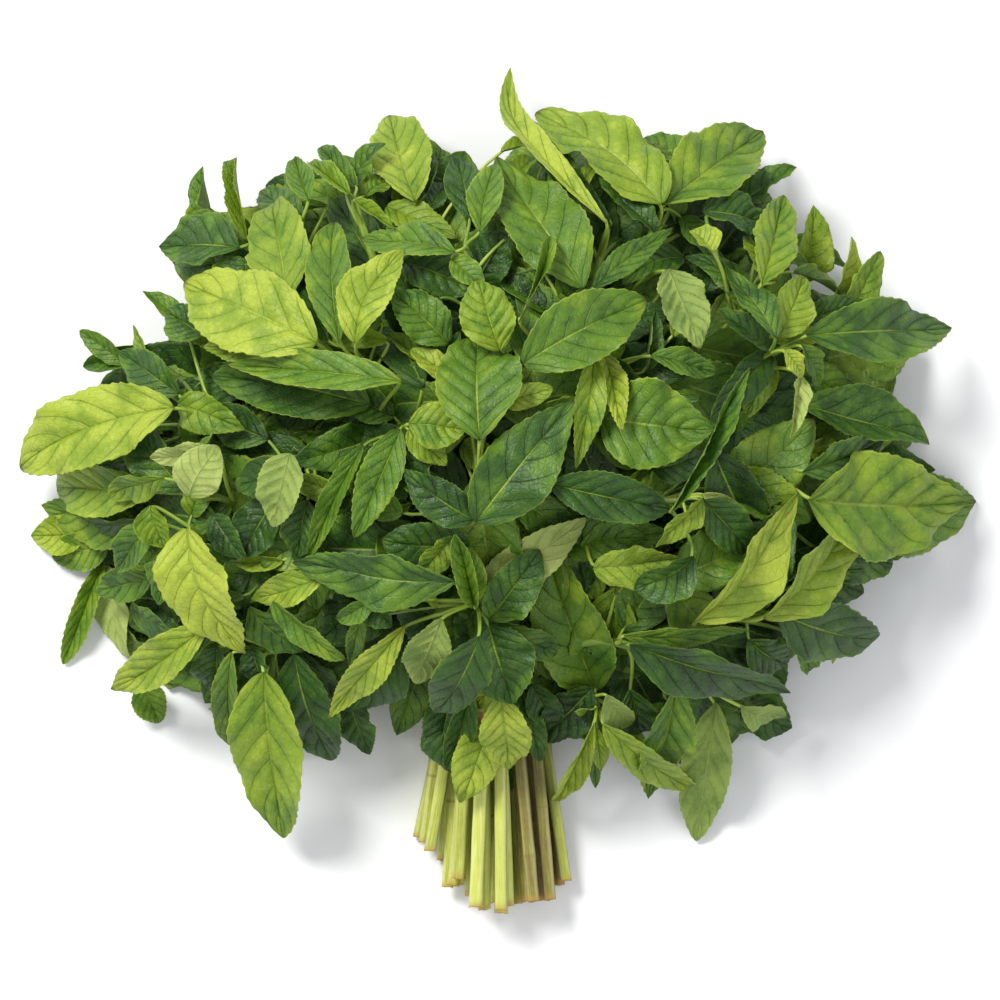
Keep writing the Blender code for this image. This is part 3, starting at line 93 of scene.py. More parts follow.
def dome(x, y):
    c = xy(*DOME_C)
    x = np.asarray(x, float) - c[0]
    y = np.asarray(y, float) - c[1]
    a = np.array(DOME_A) * UNIT
    ax = np.where(x < 0, a[0], a[1])
    ay = np.where(y > 0, a[2], a[3])
    r2 = (x / ax) ** 2 + (y / ay) ** 2
    return RIM + CROWN * np.clip(1.0 - r2, 0.0, 1.0) ** 0.85


def dome_normal(x, y):
    e = 3.0
    gx = (dome(x + e, y) - dome(x - e, y)) / (2 * e)
    gy = (dome(x, y + e) - dome(x, y - e)) / (2 * e)
    return unit((-0.8 * gx, -0.8 * gy, 1.0))


# ---------------------------------------------------------------- shoots
# number: tip on the drafting grid, how far the tip lies under its leaves, end direction (x, y, z) or None
SHOOTS = {
    1: (186, 408, 3, None), 2: (196, 488, 4, None), 3: (182, 530, 4, None), 4: (158, 572, 16, None),
    5: (288, 478, 8, None), 6: (262, 240, 4, None), 7: (325, 344, 4, None), 8: (357, 352, 6, None),
    9: (352, 196, 4, None), 10: (414, 206, 4, None), 11: (466, 246, 6, None), 12: (574, 292, 4, None),
    13: (608, 228, 3, None), 14: (662, 210, 4, None), 15: (606, 352, 5, (0.2, 0.6, 0.3)), 16: (764, 282, 4, None),
    17: (772, 348, 4, None), 18: (802, 446, 5, None), 19: (752, 618, 5, None), 20: (680, 500, 6, (0.3, -0.1, 0.1)),
    21: (478, 478, 5, (0.0, 0.3, 0.5)), 22: (400, 424, 4, (-0.4, 0.2, 0.3)), 23: (476, 606, 3, (0.0, -0.5, 0.2)),
    24: (262, 655, 5, (-0.5, -0.6, -0.4)), 25: (598, 704, 1, (0.02, -0.8, -0.55)), 26: (650, 655, 6, (0.6, -0.6, -0.3)),
}

# ---------------------------------------------------------------- the outer leaves
# shoot, layer (0 outermost), base, tip, width, tone (0 dark .. 1 bright: the leaf's own green together with painted
# light and shade, bright for lit leaves and dark for leaves in shade), then options:
#   r roll in degrees (+ lifts the right side, looking from base to tip), f fold in degrees, b bend, s sweep,
#   u underside showing, d height added at the base, t height added at the tip, c curl, w waviness, q ribbing
LEAVES = (
    # left
    (1, 1, 176, 408, 18, 467, 75, .85, dict(b=.07, f=10, s=.04, t=4, q=.8)),
    (1, 3, 140, 452, 46, 438, 45, .12, dict(b=.05, d=-8)),
    (1, 3, 135, 428, 80, 441, 22, .25, dict(r=50)),
    (1, 2, 178, 404, 246, 430, 40, .6, dict(w=.12, b=.05)),
    (1, 4, 180, 395, 120, 352, 40, .3, dict(b=.08)),
    (2, 2, 186, 490, 120, 413, 55, .3, dict(f=15)),
    (2, 0, 192, 496, 224, 446, 44, .9, dict(u=1, r=-22, b=.1, t=4, q=.5)),
    (2, 0, 222, 450, 152, 458, 26, .9, dict(u=1, r=35, b=.05, d=4, t=2)),
    (2, 1, 166, 478, 110, 494, 26, .62, dict(r=40, f=20)),
    (2, 2, 152, 492, 46, 488, 52, .6, dict(b=.06, f=10)),
    (2, 3, 140, 528, 34, 505, 52, .55, dict(b=.06)),
    (2, 1, 196, 484, 216, 425, 26, .5, dict(r=45)),
    (3, 3, 82, 534, 24, 536, 42, .75, dict(f=15, d=-2)),
    (3, 3, 104, 545, 44, 556, 40, .6, dict(f=12)),
    (3, 2, 148, 522, 80, 524, 26, .15, dict(r=35)),
    (3, 0, 190, 528, 243, 658, 79, .95, dict(b=.09, f=8, s=.03, q=1.0)),
    (3, 1, 152, 505, 166, 548, 30, .6, dict(c=.5, r=20)),
    (3, 1, 154, 524, 116, 572, 36, .4, dict(f=14)),
    (3, 1, 176, 546, 160, 604, 36, .42, dict(b=.08)),
    (3, 1, 192, 516, 215, 474, 30, .55, dict(b=.08)),
    (3, 1, 214, 514, 248, 558, 36, .14, dict(b=.05, d=-5)),
    (4, 3, 98, 560, 56, 668, 30, .62, dict(f=35, d=-6, t=-6)),
    (4, 3, 102, 566, 122, 662, 44, .72, dict(u=1, d=-10, t=-8, q=.6)),
    (4, 2, 152, 578, 92, 592, 36, .35, dict(b=.05, d=-4)),
    (4, 3, 128, 610, 172, 632, 36, .3, dict(d=-10)),
    (4, 4, 118, 622, 146, 668, 34, .45, dict(u=1, d=-14, t=-8)),
    (4, 3, 136, 682, 154, 727, 30, .45, dict(f=35, d=-2, t=-9)),
    (4, 4, 150, 660, 184, 688, 32, .3, dict(u=1, d=-14, t=-8)),
    (5, 1, 326, 576, 250, 600, 32, .68, dict(b=.06, r=-15)),
    (5, 1, 294, 454, 278, 524, 46, .58, dict(u=1, b=.1, q=1.2)),
    (5, 3, 276, 500, 244, 556, 46, .15, dict(b=.05)),
    (5, 2, 300, 470, 236, 486, 40, .3, dict(b=.05)),
    (5, 2, 270, 440, 214, 410, 42, .25, dict(b=.08)),
    (5, 2, 310, 500, 300, 556, 40, .3, dict(b=.08)),
    # far left
    (6, 1, 240, 249, 162, 248, 62, .3, dict(b=.06, f=12, q=.8)),
    (6, 1, 247, 241, 234, 154, 28, .6, dict(f=55)),
    (6, 2, 302, 229, 256, 186, 36, .25, dict(b=.08)),
    (6, 2, 326, 204, 281, 214, 16, .55, dict(f=50)),
    (6, 1, 310, 202, 296, 157, 20, .45, dict(f=50)),
    (6, 2, 250, 262, 214, 300, 36, .22, dict(b=.05, d=-6)),
    (7, 1, 290, 302, 271, 199, 62, .68, dict(b=.07, f=12, q=.6)),
    (7, 0, 320, 346, 183, 281, 86, .85, dict(b=.08, f=8, q=1.0)),
    (7, 1, 302, 360, 204, 345, 42, .66, dict(b=.05, r=-18)),
    (7, 2, 204, 336, 166, 311, 40, .3, dict(d=-5)),
    (7, 0, 404, 384, 234, 368, 36, .48, dict(f=28, b=.05, r=-12)),
    (7, 1, 372, 406, 216, 377, 62, .3, dict(b=.06, f=14)),
    (7, 3, 250, 392, 196, 372, 44, .2, dict(d=-6)),
    (8, 0, 357, 346, 405, 251, 50, .8, dict(f=16, b=.1, s=-.06, t=3)),
    (8, 1, 342, 346, 334, 221, 38, .5, dict(f=35, b=.06)),
    (8, 2, 330, 343, 299, 262, 28, .2, dict(f=30)),
    (8, 1, 450, 346, 394, 296, 46, .3, dict(b=.09)),
    (8, 2, 352, 366, 330, 420, 34, .3, dict(b=.06)),
    (8, 3, 330, 384, 292, 428, 40, .15, dict(b=.05)),
    (9, 2, 386, 286, 329, 189, 46, .2, dict(b=.07, f=12)),
    (9, 1, 351, 196, 308, 159, 24, .6, dict(f=40)),
    (9, 1, 357, 188, 319, 146, 22, .4, dict(f=30)),
    (9, 1, 345, 188, 384, 142, 32, .35, dict(b=.06)),
    (9, 2, 364, 196, 392, 176, 26, .5, dict(b=.08)),
    (9, 0, 356, 202, 396, 232, 16, .6, dict(f=40)),
    (9, 2, 346, 214, 318, 250, 30, .3, dict(b=.05)),
    (10, 1, 415, 202, 388, 112, 60, .68, dict(b=.07, f=10, q=.8)),
    (10, 2, 426, 194, 432, 154, 22, .25, dict(f=20)),
    (10, 1, 386, 206, 458, 240, 36, .6, dict(b=.08, f=12)),
    (10, 3, 430, 210, 446, 180, 30, .15, dict()),
    (11, 0, 456, 256, 361, 239, 38, .45, dict(f=20, b=.05)),
    (11, 1, 452, 262, 486, 292, 26, .5, dict(f=25)),
    (11, 3, 402, 264, 482, 292, 48, .18, dict(b=.05, d=-6)),
    (11, 1, 470, 222, 454, 154, 38, .25, dict(b=.07)),
    (11, 0, 480, 236, 496, 167, 36, .5, dict(b=.07, f=15)),
    (11, 3, 470, 292, 506, 236, 54, .12, dict(b=-.04, d=-12)),
    (11, 2, 440, 300, 412, 338, 40, .25, dict(b=.05)),
    # far middle
    (12, 1, 582, 292, 497, 164, 76, .45, dict(b=.07, f=12, q=.8)),
    (12, 2, 510, 184, 536, 156, 22, .6, dict(c=.5)),
    (12, 0, 518, 326, 550, 237, 18, .6, dict(f=58, s=.05)),
    (12, 0, 500, 354, 478, 279, 52, .68, dict(b=.1, q=1.5)),
    (12, 1, 592, 291, 671, 231, 26, .28, dict(f=20)),
    (12, 2, 560, 306, 588, 262, 34, .35, dict(b=.05)),
    (13, 0, 606, 226, 510, 66, 30, .8, dict(f=34, s=-.13, b=.05)),
    (13, 1, 609, 223, 529, 117, 32, .12, dict(s=-.08, f=14, b=.04)),
    (13, 2, 624, 238, 612, 288, 34, .3, dict(b=.05)),
    (14, 0, 661, 206, 536, 111, 84, .68, dict(b=.08, f=8, q=.9)),
    (14, 1, 663, 206, 761, 133, 74, .55, dict(b=.08, f=9, q=1.1)),
    (14, 3, 690, 164, 644, 136, 44, .5, dict(d=-4)),
    (14, 1, 656, 236, 617, 199, 26, .25, dict(f=25)),
    (14, 0, 666, 272, 696, 352, 50, .52, dict(u=1, q=1.3, b=.06)),
    (14, 2, 680, 216, 716, 262, 30, .4, dict(b=.06)),
    (15, 0, 522, 367, 642, 304, 62, .5, dict(b=.09, f=16, r=-14, q=.6)),
    (15, 1, 748, 312, 684, 258, 32, .3, dict(b=.16, s=.1)),
    (15, 1, 684, 258, 621, 288, 30, .28, dict(b=.1, s=.1)),
    (15, 1, 592, 358, 574, 470, 22, .66, dict(f=50, b=.06)),
    (15, 1, 602, 354, 619, 434, 28, .75, dict(f=30, b=.06, q=1.2)),
    (15, 2, 606, 360, 648, 410, 18, .3, dict(f=45)),
    (15, 2, 648, 358, 712, 374, 28, .42, dict(b=.06)),
    (15, 1, 600, 420, 708, 432, 86, .5, dict(b=.08, f=6, q=.8)),
    # far right
    (16, 0, 712, 254, 690, 232, 30, .85, dict(c=.5, b=.1)),
    (16, 1, 702, 212, 772, 224, 48, .25, dict(b=.06)),
    (16, 1, 776, 282, 744, 234, 40, .68, dict(b=.08, q=1)),
    (16, 0, 760, 286, 784, 196, 38, .58, dict(f=40, b=.04)),
    (16, 1, 776, 338, 801, 279, 42, .66, dict(b=.08)),
    (16, 2, 730, 262, 690, 290, 34, .25, dict()),
    (17, 0, 774, 340, 724, 269, 32, .35, dict(f=30)),
    (17, 0, 770, 351, 714, 311, 26, .2, dict(f=20)),
    (17, 1, 770, 353, 705, 421, 36, .2, dict(f=14, b=.06)),
    (17, 0, 804, 336, 959, 325, 62, .38, dict(b=.07, f=9, s=.02, q=.7)),
    (17, 0, 782, 352, 801, 380, 22, .85, dict(b=.08)),
    (17, 0, 800, 376, 785, 441, 20, .85, dict(u=1, f=45)),
    (17, 1, 772, 354, 742, 421, 20, .6, dict(f=45)),
    (17, 1, 800, 346, 821, 387, 26, .4, dict(f=20)),
    (17, 3, 800, 322, 862, 300, 34, .2, dict(d=-8)),
    (18, 1, 800, 404, 933, 444, 52, .28, dict(c=.35, b=.07, r=18)),
    (18, 0, 806, 500, 964, 500, 104, .62, dict(b=.06, f=6, q=.8)),
    (18, 2, 850, 512, 991, 503, 84, .4, dict(b=.04, d=-4, t=-2)),
    (18, 1, 800, 472, 882, 441, 40, .35, dict(b=.05)),
    (18, 3, 812, 548, 900, 566, 50, .3, dict(d=-8, t=-4)),
    (19, 0, 694, 620, 801, 493, 56, .78, dict(f=26, b=.06, r=-12)),
    (19, 0, 762, 618, 864, 503, 58, .72, dict(f=26, b=.06, r=-12)),
    (19, 1, 776, 612, 888, 640, 64, .22, dict(b=.06, f=8, q=.8)),
    (19, 2, 800, 572, 864, 568, 26, .25, dict(d=-6)),
    (19, 3, 804, 640, 813, 674, 22, .42, dict(f=30, d=-8, t=-9)),
    (19, 2, 748, 640, 792, 668, 44, .2, dict(d=-4)),
    (20, 0, 668, 512, 746, 369, 28, .32, dict(f=45, b=.05)),
    (20, 0, 700, 498, 652, 546, 26, .72, dict(f=30, r=20)),
    (20, 1, 692, 556, 632, 590, 46, .25, dict(b=.08, c=.2)),
    (20, 1, 548, 484, 666, 508, 48, .2, dict(f=14, b=.07)),
    (20, 2, 700, 500, 746, 552, 44, .2, dict(b=.06)),
    (20, 2, 700, 494, 742, 520, 20, .8, dict(u=1, f=30)),
    (20, 3, 650, 470, 700, 455, 40, .2, dict(d=-5)),
    # crown
    (21, 0, 480, 442, 478, 334, 96, .4, dict(b=.08, f=6, q=.9)),
    (21, 0, 476, 522, 574, 401, 70, .33, dict(b=.09, f=12, q=.5)),
    (21, 2, 474, 520, 404, 470, 40, .2, dict(b=.07)),
    (21, 1, 462, 398, 430, 386, 22, .6, dict()),
    (21, 2, 484, 478, 536, 452, 40, .25, dict(b=.05)),
    (22, 0, 410, 425, 466, 431, 45, .6, dict(b=.08, q=1.2)),
    (22, 0, 410, 430, 448, 466, 30, .66, dict(b=.08)),
    (22, 0, 402, 430, 356, 538, 38, .52, dict(f=32, b=.05)),
    (22, 1, 366, 446, 310, 560, 26, .35, dict(f=30, b=.06)),
    (22, 1, 396, 418, 352, 398, 34, .35, dict(b=.07)),
    (22, 2, 398, 432, 430, 500, 42, .18, dict(b=.05)),
    (23, 2, 470, 545, 384, 540, 52, .18, dict(b=.06)),
    (23, 0, 456, 580, 296, 560, 54, .28, dict(f=16, b=.05, r=10)),
    (23, 1, 454, 535, 420, 572, 30, .6, dict(r=25)),
    (23, 0, 474, 604, 456, 532, 26, .5, dict(f=45)),
    (23, 0, 478, 600, 470, 545, 22, .55, dict(f=40)),
    (23, 1, 476, 600, 586, 518, 48, .9, dict(u=1, f=12, b=.05)),
    (23, 0, 490, 618, 540, 550, 48, .3, dict(b=.07, f=12)),
    (23, 0, 480, 634, 434, 716, 56, .25, dict(b=.08, f=9, q=.6)),
    (23, 1, 488, 622, 512, 700, 72, .28, dict(b=.07, f=10, q=.6)),
    (23, 2, 522, 660, 468, 711, 34, .66, dict(b=.05)),
    (23, 1, 496, 620, 556, 655, 38, .35, dict(b=.08)),
    (23, 1, 442, 616, 416, 682, 46, .5, dict(u=1, q=1.3, b=.06)),
    (23, 1, 406, 624, 328, 719, 34, .78, dict(f=20, b=.05)),
    (23, 2, 404, 648, 348, 708, 58, .2, dict(b=.05)),
    (23, 0, 376, 597, 337, 619, 21, .45, dict(c=.3)),
    (23, 0, 369, 597, 394, 625, 32, .25, dict(c=.4)),
    (23, 1, 364, 612, 350, 664, 15, .5, dict(f=40)),
    (23, 1, 369, 618, 356, 670, 15, .4, dict(f=40)),
    # near left
    (24, 1, 264, 672, 283, 838, 76, .62, dict(b=.06, f=10, q=.9)),
    (24, 1, 208, 624, 107, 691, 46, .8, dict(b=.06, r=-12)),
    (24, 2, 216, 646, 214, 692, 44, .28, dict(d=-3)),
    (24, 1, 232, 652, 231, 748, 26, .5, dict(f=38)),
    (24, 1, 252, 648, 266, 686, 36, .18, dict(b=.05)),
    (24, 1, 250, 606, 304, 653, 42, .38, dict(b=.06, f=12)),
    (24, 0, 275, 600, 347, 660, 28, .45, dict(f=20, b=.05)),
    (24, 2, 300, 652, 352, 702, 40, .2, dict(b=.05)),
    (24, 1, 294, 654, 328, 768, 64, .2, dict(b=.06, f=10)),
    (24, 3, 348, 700, 368, 758, 42, .22, dict(d=-8, t=-6)),
    # near the tie and near right
    (25, 1, 597, 692, 546, 547, 76, .42, dict(b=.07, f=14, r=8, q=.6)),
    (25, 0, 594, 722, 551, 811, 26, .75, dict(f=35, d=-3, t=-8)),
    (25, 0, 603, 724, 702, 797, 34, .75, dict(f=26, b=.06, d=-3, t=-7)),
    (25, 0, 597, 728, 602, 772, 17, .7, dict(f=35, d=-4)),
    (25, 1, 594, 730, 596, 790, 13, .4, dict(f=35, d=-6)),
    (25, 1, 606, 694, 632, 726, 32, .6, dict(u=1, q=1)),
    (25, 1, 592, 700, 578, 712, 20, .7, dict()),
    (25, 2, 562, 664, 533, 722, 42, .3, dict(b=.05)),
    (25, 2, 584, 698, 545, 733, 34, .08, dict(f=20)),
    (21, 1, 500, 694, 508, 769, 50, .78, dict(b=.1, f=9, d=-2, t=-8)),
    (23, 1, 492, 722, 460, 806, 52, .75, dict(b=.08, f=9, d=-2, t=6)),
    (23, 2, 442, 712, 455, 778, 46, .2, dict(b=.07, f=9, d=-4)),
    (23, 2, 464, 700, 470, 752, 16, .42, dict(f=25, d=-4)),
    (20, 2, 508, 696, 538, 734, 38, .3, dict(b=.06, d=-3)),
    (20, 3, 508, 752, 508, 799, 18, .3, dict(d=2)),
    (22, 3, 452, 700, 428, 732, 30, .3, dict(d=-4)),
    (26, 0, 628, 643, 791, 691, 58, .2, dict(f=16, b=.07, r=-8, q=.7)),
    (26, 1, 622, 634, 748, 630, 26, .55, dict(f=20, b=.04, r=-12)),
    (26, 2, 698, 640, 790, 652, 48, .2, dict(b=.04)),
    (26, 1, 676, 688, 650, 798, 56, .5, dict(q=1.3, f=12, b=.06)),
    (26, 2, 704, 716, 682, 769, 26, .35, dict(f=25, b=.08)),
    (26, 1, 718, 704, 700, 844, 48, .55, dict(u=1, q=1.3, f=10, b=.06, t=-6)),
    (26, 1, 742, 708, 787, 716, 32, .6, dict(u=1, b=.06, q=.8)),
    (26, 2, 746, 704, 797, 734, 46, .25, dict(d=-4, t=-3)),
    (26, 3, 630, 690, 640, 740, 44, .25, dict(d=-4)),
)


def leaf_profile(u, blunt):
    """Half-width of a mint blade along its length, 1 at its widest."""
    a, b = 0.55, 0.92 - 0.3 * blunt
    m = a / (a + b)
    peak = m ** a * (1 - m) ** b
    return np.clip(u, 0, 1) ** a * np.clip(1 - u, 0, 1) ** b / peak


def blade(leaf, us, vs, fine):
    """Points and normals of a leaf's middle surface on a grid of us along it and vs across it."""
    us = np.asarray(us, float)
    vs = np.asarray(vs, float)
    base, tip = leaf["base"], leaf["tip"]
    d = tip - base
    length = float(np.linalg.norm(d))
    dirn = d / max(length, 1e-6)
    ref = leaf["ref"]
    up = unit(ref - dirn * float(ref @ dirn))
    side = np.cross(dirn, up)
    fine_u = np.linspace(0, 1, 81)
    arch = np.sin(np.pi * fine_u ** 0.9)
    mid = (base[None] + d[None] * fine_u[:, None]
           + up[None] * (leaf["bend"] * length * arch)[:, None]
           + side[None] * (leaf["sweep"] * length * 4 * fine_u * (1 - fine_u))[:, None])
    tan = np.gradient(mid, fine_u, axis=0)
    tan /= np.linalg.norm(tan, axis=1)[:, None]
    m = np.stack([np.interp(us, fine_u, mid[:, i]) for i in range(3)], 1)
    t = np.stack([np.interp(us, fine_u, tan[:, i]) for i in range(3)], 1)
    n0 = up[None] - t * (t @ up)[:, None]
    n0 /= np.linalg.norm(n0, axis=1)[:, None]
    s0 = np.cross(t, n0)
    roll = leaf["roll"] + leaf["twist"] * (us - 0.4)
    s = s0 * np.cos(roll)[:, None] + n0 * np.sin(roll)[:, None]
    n = n0 * np.cos(roll)[:, None] - s0 * np.sin(roll)[:, None]
    hw = 0.5 * leaf["w"] * leaf_profile(us, leaf["blunt"])
    fold = leaf["fold"] * (1.0 - 0.25 * us)
    if fine:
        seed = leaf["seed"]
        hw = hw * np.clip((1 - us) / 0.5, 0, 1) ** (0.16 * rnd(seed, "pt") ** 1.5) * np.clip(us / 0.34, 0, 1) ** (0.04 + 0.26 * rnd(seed, "pb"))
        hw = hw * (1.03 + 0.05 * rnd(seed, "hw"))
        fold = fold * (1 + 0.5 * np.sin(2.2 * us + 6.28 * rnd(seed, "fo"))) + math.radians(5)
    av = np.abs(vs)
    lat = hw[:, None] * vs[None] * np.cos(fold)[:, None]
    hgt = hw[:, None] * av[None] * np.sin(fold)[:, None] + leaf["curl"] * hw[:, None] * (vs ** 2)[None]
    if fine:
        seed = leaf["seed"]
        ph = 6.28 * rnd(seed, "ph")
        sgn = np.where(vs < 0, 1.0, 0.0)
        lop = 1 + 0.13 * (rnd(seed, "lop") - 0.5) * np.sign(vs)[None] * np.sin(np.pi * us)[:, None]
        lat = lat * lop
        hgt = hgt + (0.055 * (rnd(seed, "sc") - 0.4) * length * np.sin(2 * np.pi * us ** 1.2))[:, None]
        hgt = hgt + (0.26 * (rnd(seed, "tc") - 0.5) * leaf["w"] * np.clip((us - 0.66) / 0.34, 0, 1) ** 2)[:, None]
        hgt = hgt + 0.42 * (rnd(seed, "er") - 0.42) * hw[:, None] * (av ** 3)[None] * np.sin(2.6 * us[:, None] + 1.2 * sgn[None] + 3 * rnd(seed, "ew"))
        hgt = hgt + 0.10 * hw[:, None] * vs[None] * np.sin(5.0 * us + 6.28 * rnd(seed, "tq"))[:, None]
        wave = np.sin(2 * np.pi * 2.1 * us[:, None] + ph + 2.1 * sgn[None]) + 0.5 * np.sin(2 * np.pi * 4.3 * us[:, None] + 1.7 * ph + sgn[None])
        hgt = hgt + 1.75 * leaf["wave"] * hw[:, None] * (av ** 2.2)[None] * wave
        teeth = round(1.45 * leaf["teeth"])
        saw = (us[:, None] * teeth + 0.37 * sgn[None] + rnd(seed, "t")) % 1.0
        tooth = np.where(saw < 0.78, saw / 0.78, (1 - saw) / 0.22) - 0.45
        envelope = np.clip(us / 0.16, 0, 1)[:, None] * np.clip((1 - us) / 0.05, 0, 1)[:, None]
        lat = lat + np.sign(vs)[None] * (0.16 + 0.018 * leaf["w"]) * (0.75 + 0.5 * rnd(seed, "th")) * tooth * envelope * (av ** 14)[None]
        line = us[:, None] - 0.26 * (av ** 1.25)[None] - 0.012 * sgn[None]
        puff = np.abs(np.sin(np.pi * leaf["veins"] * line + 0.4)) ** 0.7 - 0.6
        amp = 0.058 * leaf["quilt"] * leaf["w"] * (0.35 + 0.65 * np.clip(us / 0.2, 0, 1)) * np.clip((1 - us) / 0.2, 0, 1) ** 0.7
        sign = -1.0 if leaf["under"] else 1.0
        hgt = hgt + sign * amp[:, None] * puff * (np.clip(av / 0.16, 0, 1) * (1 - av ** 4))[None]
        hgt = hgt - sign * 0.02 * leaf["w"] * np.exp(-(vs / 0.07) ** 2)[None] * np.clip((1 - us) / 0.3, 0, 1)[:, None]
    pts = m[:, None, :] + s[:, None, :] * lat[:, :, None] + n[:, None, :] * hgt[:, :, None]
    nrm = n[:, None, :] * np.cos(fold)[:, None, None] - s[:, None, :] * (np.sign(vs)[None, :, None] * np.sin(fold)[:, None, None])
    return pts, nrm


def make_leaf(shoot, key, base, tip, width, tone, ref, opts):
    length = float(np.linalg.norm(tip - base))
    fold = math.radians(opts.get("f", 6 + 12 * rnd(key, "f")))
    roll = math.radians(opts.get("r", 0))
    natural = width / max(0.3, math.cos(fold) * math.cos(roll))
    natural = min(natural, 0.72 * length + 1.0)
    return dict(shoot=shoot, key=key, seed=key, base=base, tip=tip, w=natural, tone=tone, ref=ref,
                fold=fold, roll=roll, twist=math.radians(30 * (rnd(key, "tw") - 0.5)), bend=opts.get("b", 0.05), sweep=opts.get("s", 0.05 * (rnd(key, "s") - 0.5)),
                curl=opts.get("c", 0.0), wave=opts.get("w", 0.05 + 0.05 * rnd(key, "w")), under=opts.get("u", 0),
                quilt=opts.get("q", 0.55 + 0.5 * rnd(key, "q")), veins=5.6 + 1.6 * rnd(key, "v"),
                teeth=9.0 + 4.0 * rnd(key, "n"), blunt=rnd(key, "b"), age=rnd(key, "age"))


CELL = 2.0
HALF = 160.0
NCELL = int(2 * HALF / CELL)


def cells(pts):
    i = np.clip(((pts[..., 0] + HALF) / CELL).astype(int), 0, NCELL - 1)
    j = np.clip(((pts[..., 1] + HALF) / CELL).astype(int), 0, NCELL - 1)
    return i, j


COARSE_U = np.linspace(0.0, 1.0, 23)
COARSE_V = np.linspace(-1.0, 1.0, 11)


def tuck_under(leaf, low, gap, most):
    """Lowers a leaf, at one end or at both, until it lies under everything already placed."""
    pts, _ = blade(leaf, COARSE_U, COARSE_V, False)
    i, j = cells(pts)
    room = low[i, j] - gap - pts[..., 2]
    uu = np.repeat(COARSE_U[:, None], len(COARSE_V), 1)
    if room.min() >= 0:
        return 0.0
    both = float(room.min())
    at_tip = float((room[uu > 0.05] / uu[uu > 0.05]).min())
    at_base = float((room[uu < 0.95] / (1 - uu[uu < 0.95])).min())
    at_tip = min(at_tip, 0.0)
    at_base = min(at_base, 0.0)
    tries = [(both, both), (0.0, at_tip), (at_base, 0.0)]
    if (room[uu <= 0.05] < 0).any():
        tries = [(both, both), (at_base, 0.0)]
    lb, lt = min(tries, key=lambda p: -(p[0] + p[1]) + 3 * max(0.0, -min(p) - 18))
    lb, lt = max(lb, -most), max(lt, -most)
    leaf["base"] = leaf["base"] + np.array([0, 0, lb])
    leaf["tip"] = leaf["tip"] + np.array([0, 0, lt])
    return min(lb, lt)


def settle(leaf, floor=0.5):
    """Keeps a leaf above the surface that the bunch lies on."""
    pts, _ = blade(leaf, COARSE_U, COARSE_V, False)
    for end, part in (("base", pts[:12]), ("tip", pts[12:])):
        low = float(part[..., 2].min())
        if low < floor:
            leaf[end] = leaf[end] + np.array([0, 0, floor - low])


def press(leaf, low):
    pts, _ = blade(leaf, COARSE_U, COARSE_V, False)
    i, j = cells(pts)
    np.minimum.at(low, (i, j), pts[..., 2])


def outer_leaves(low):
    made = []
    order = sorted(range(len(LEAVES)), key=lambda k: (LEAVES[k][1], k))
    for k in order:
        shoot, layer, bx, by, tx, ty, width, tone, opts = LEAVES[k]
        b, t = xy(bx, by), xy(tx, ty)
        zb = float(dome(*b)) - 2.0 * layer + opts.get("d", 0)
        zt = float(dome(*t)) - 2.0 * layer + opts.get("t", 0) - 2.0
        c = 0.5 * (b + t)
        base, tip = np.array([*b, max(zb, 3.0)]), np.array([*t, max(zt, 2.0)])
        leaf = make_leaf(shoot, k, base, tip, width * UNIT, tone, dome_normal(*c), opts)
        tuck_under(leaf, low, 1.6, 34.0)
        settle(leaf)
        press(leaf, low)
        leaf["hero"] = True
        leaf["layer"] = layer
        made.append(leaf)
    return made


def bezier(p, n):
    t = np.linspace(0, 1, n)[:, None]
    return ((1 - t) ** 3 * p[0] + 3 * (1 - t) ** 2 * t * p[1] + 3 * (1 - t) * t ** 2 * p[2] + t ** 3 * p[3])


def resample(path, n):
    d = np.concatenate([[0], np.cumsum(np.linalg.norm(np.diff(path, axis=0), axis=1))])
    s = np.linspace(0, d[-1], n)
    return np.stack([np.interp(s, d, path[:, i]) for i in range(3)], 1)


# where the cut ends lie: lateral place from the middle of the bunch, and reach below the tie, in drafting units
ENDS = ((-82, 98), (-76, 124), (-66, 138), (-52, 148), (-44, 176), (-30, 164), (-22, 188), (-10, 197),
        (8, 197), (20, 196), (30, 190), (40, 186), (48, 188), (58, 190), (66, 182), (76, 168), (84, 60))


def end_reach(x, row, k):
    """How far below the tie a stalk is cut, from its lateral place."""
    table = sorted(ENDS)
    r = float(np.interp(x, [e[0] for e in table], [e[1] for e in table]))
    return r - 3 * (4 - row) * rnd("end", k) - 6 * rnd("end2", k)


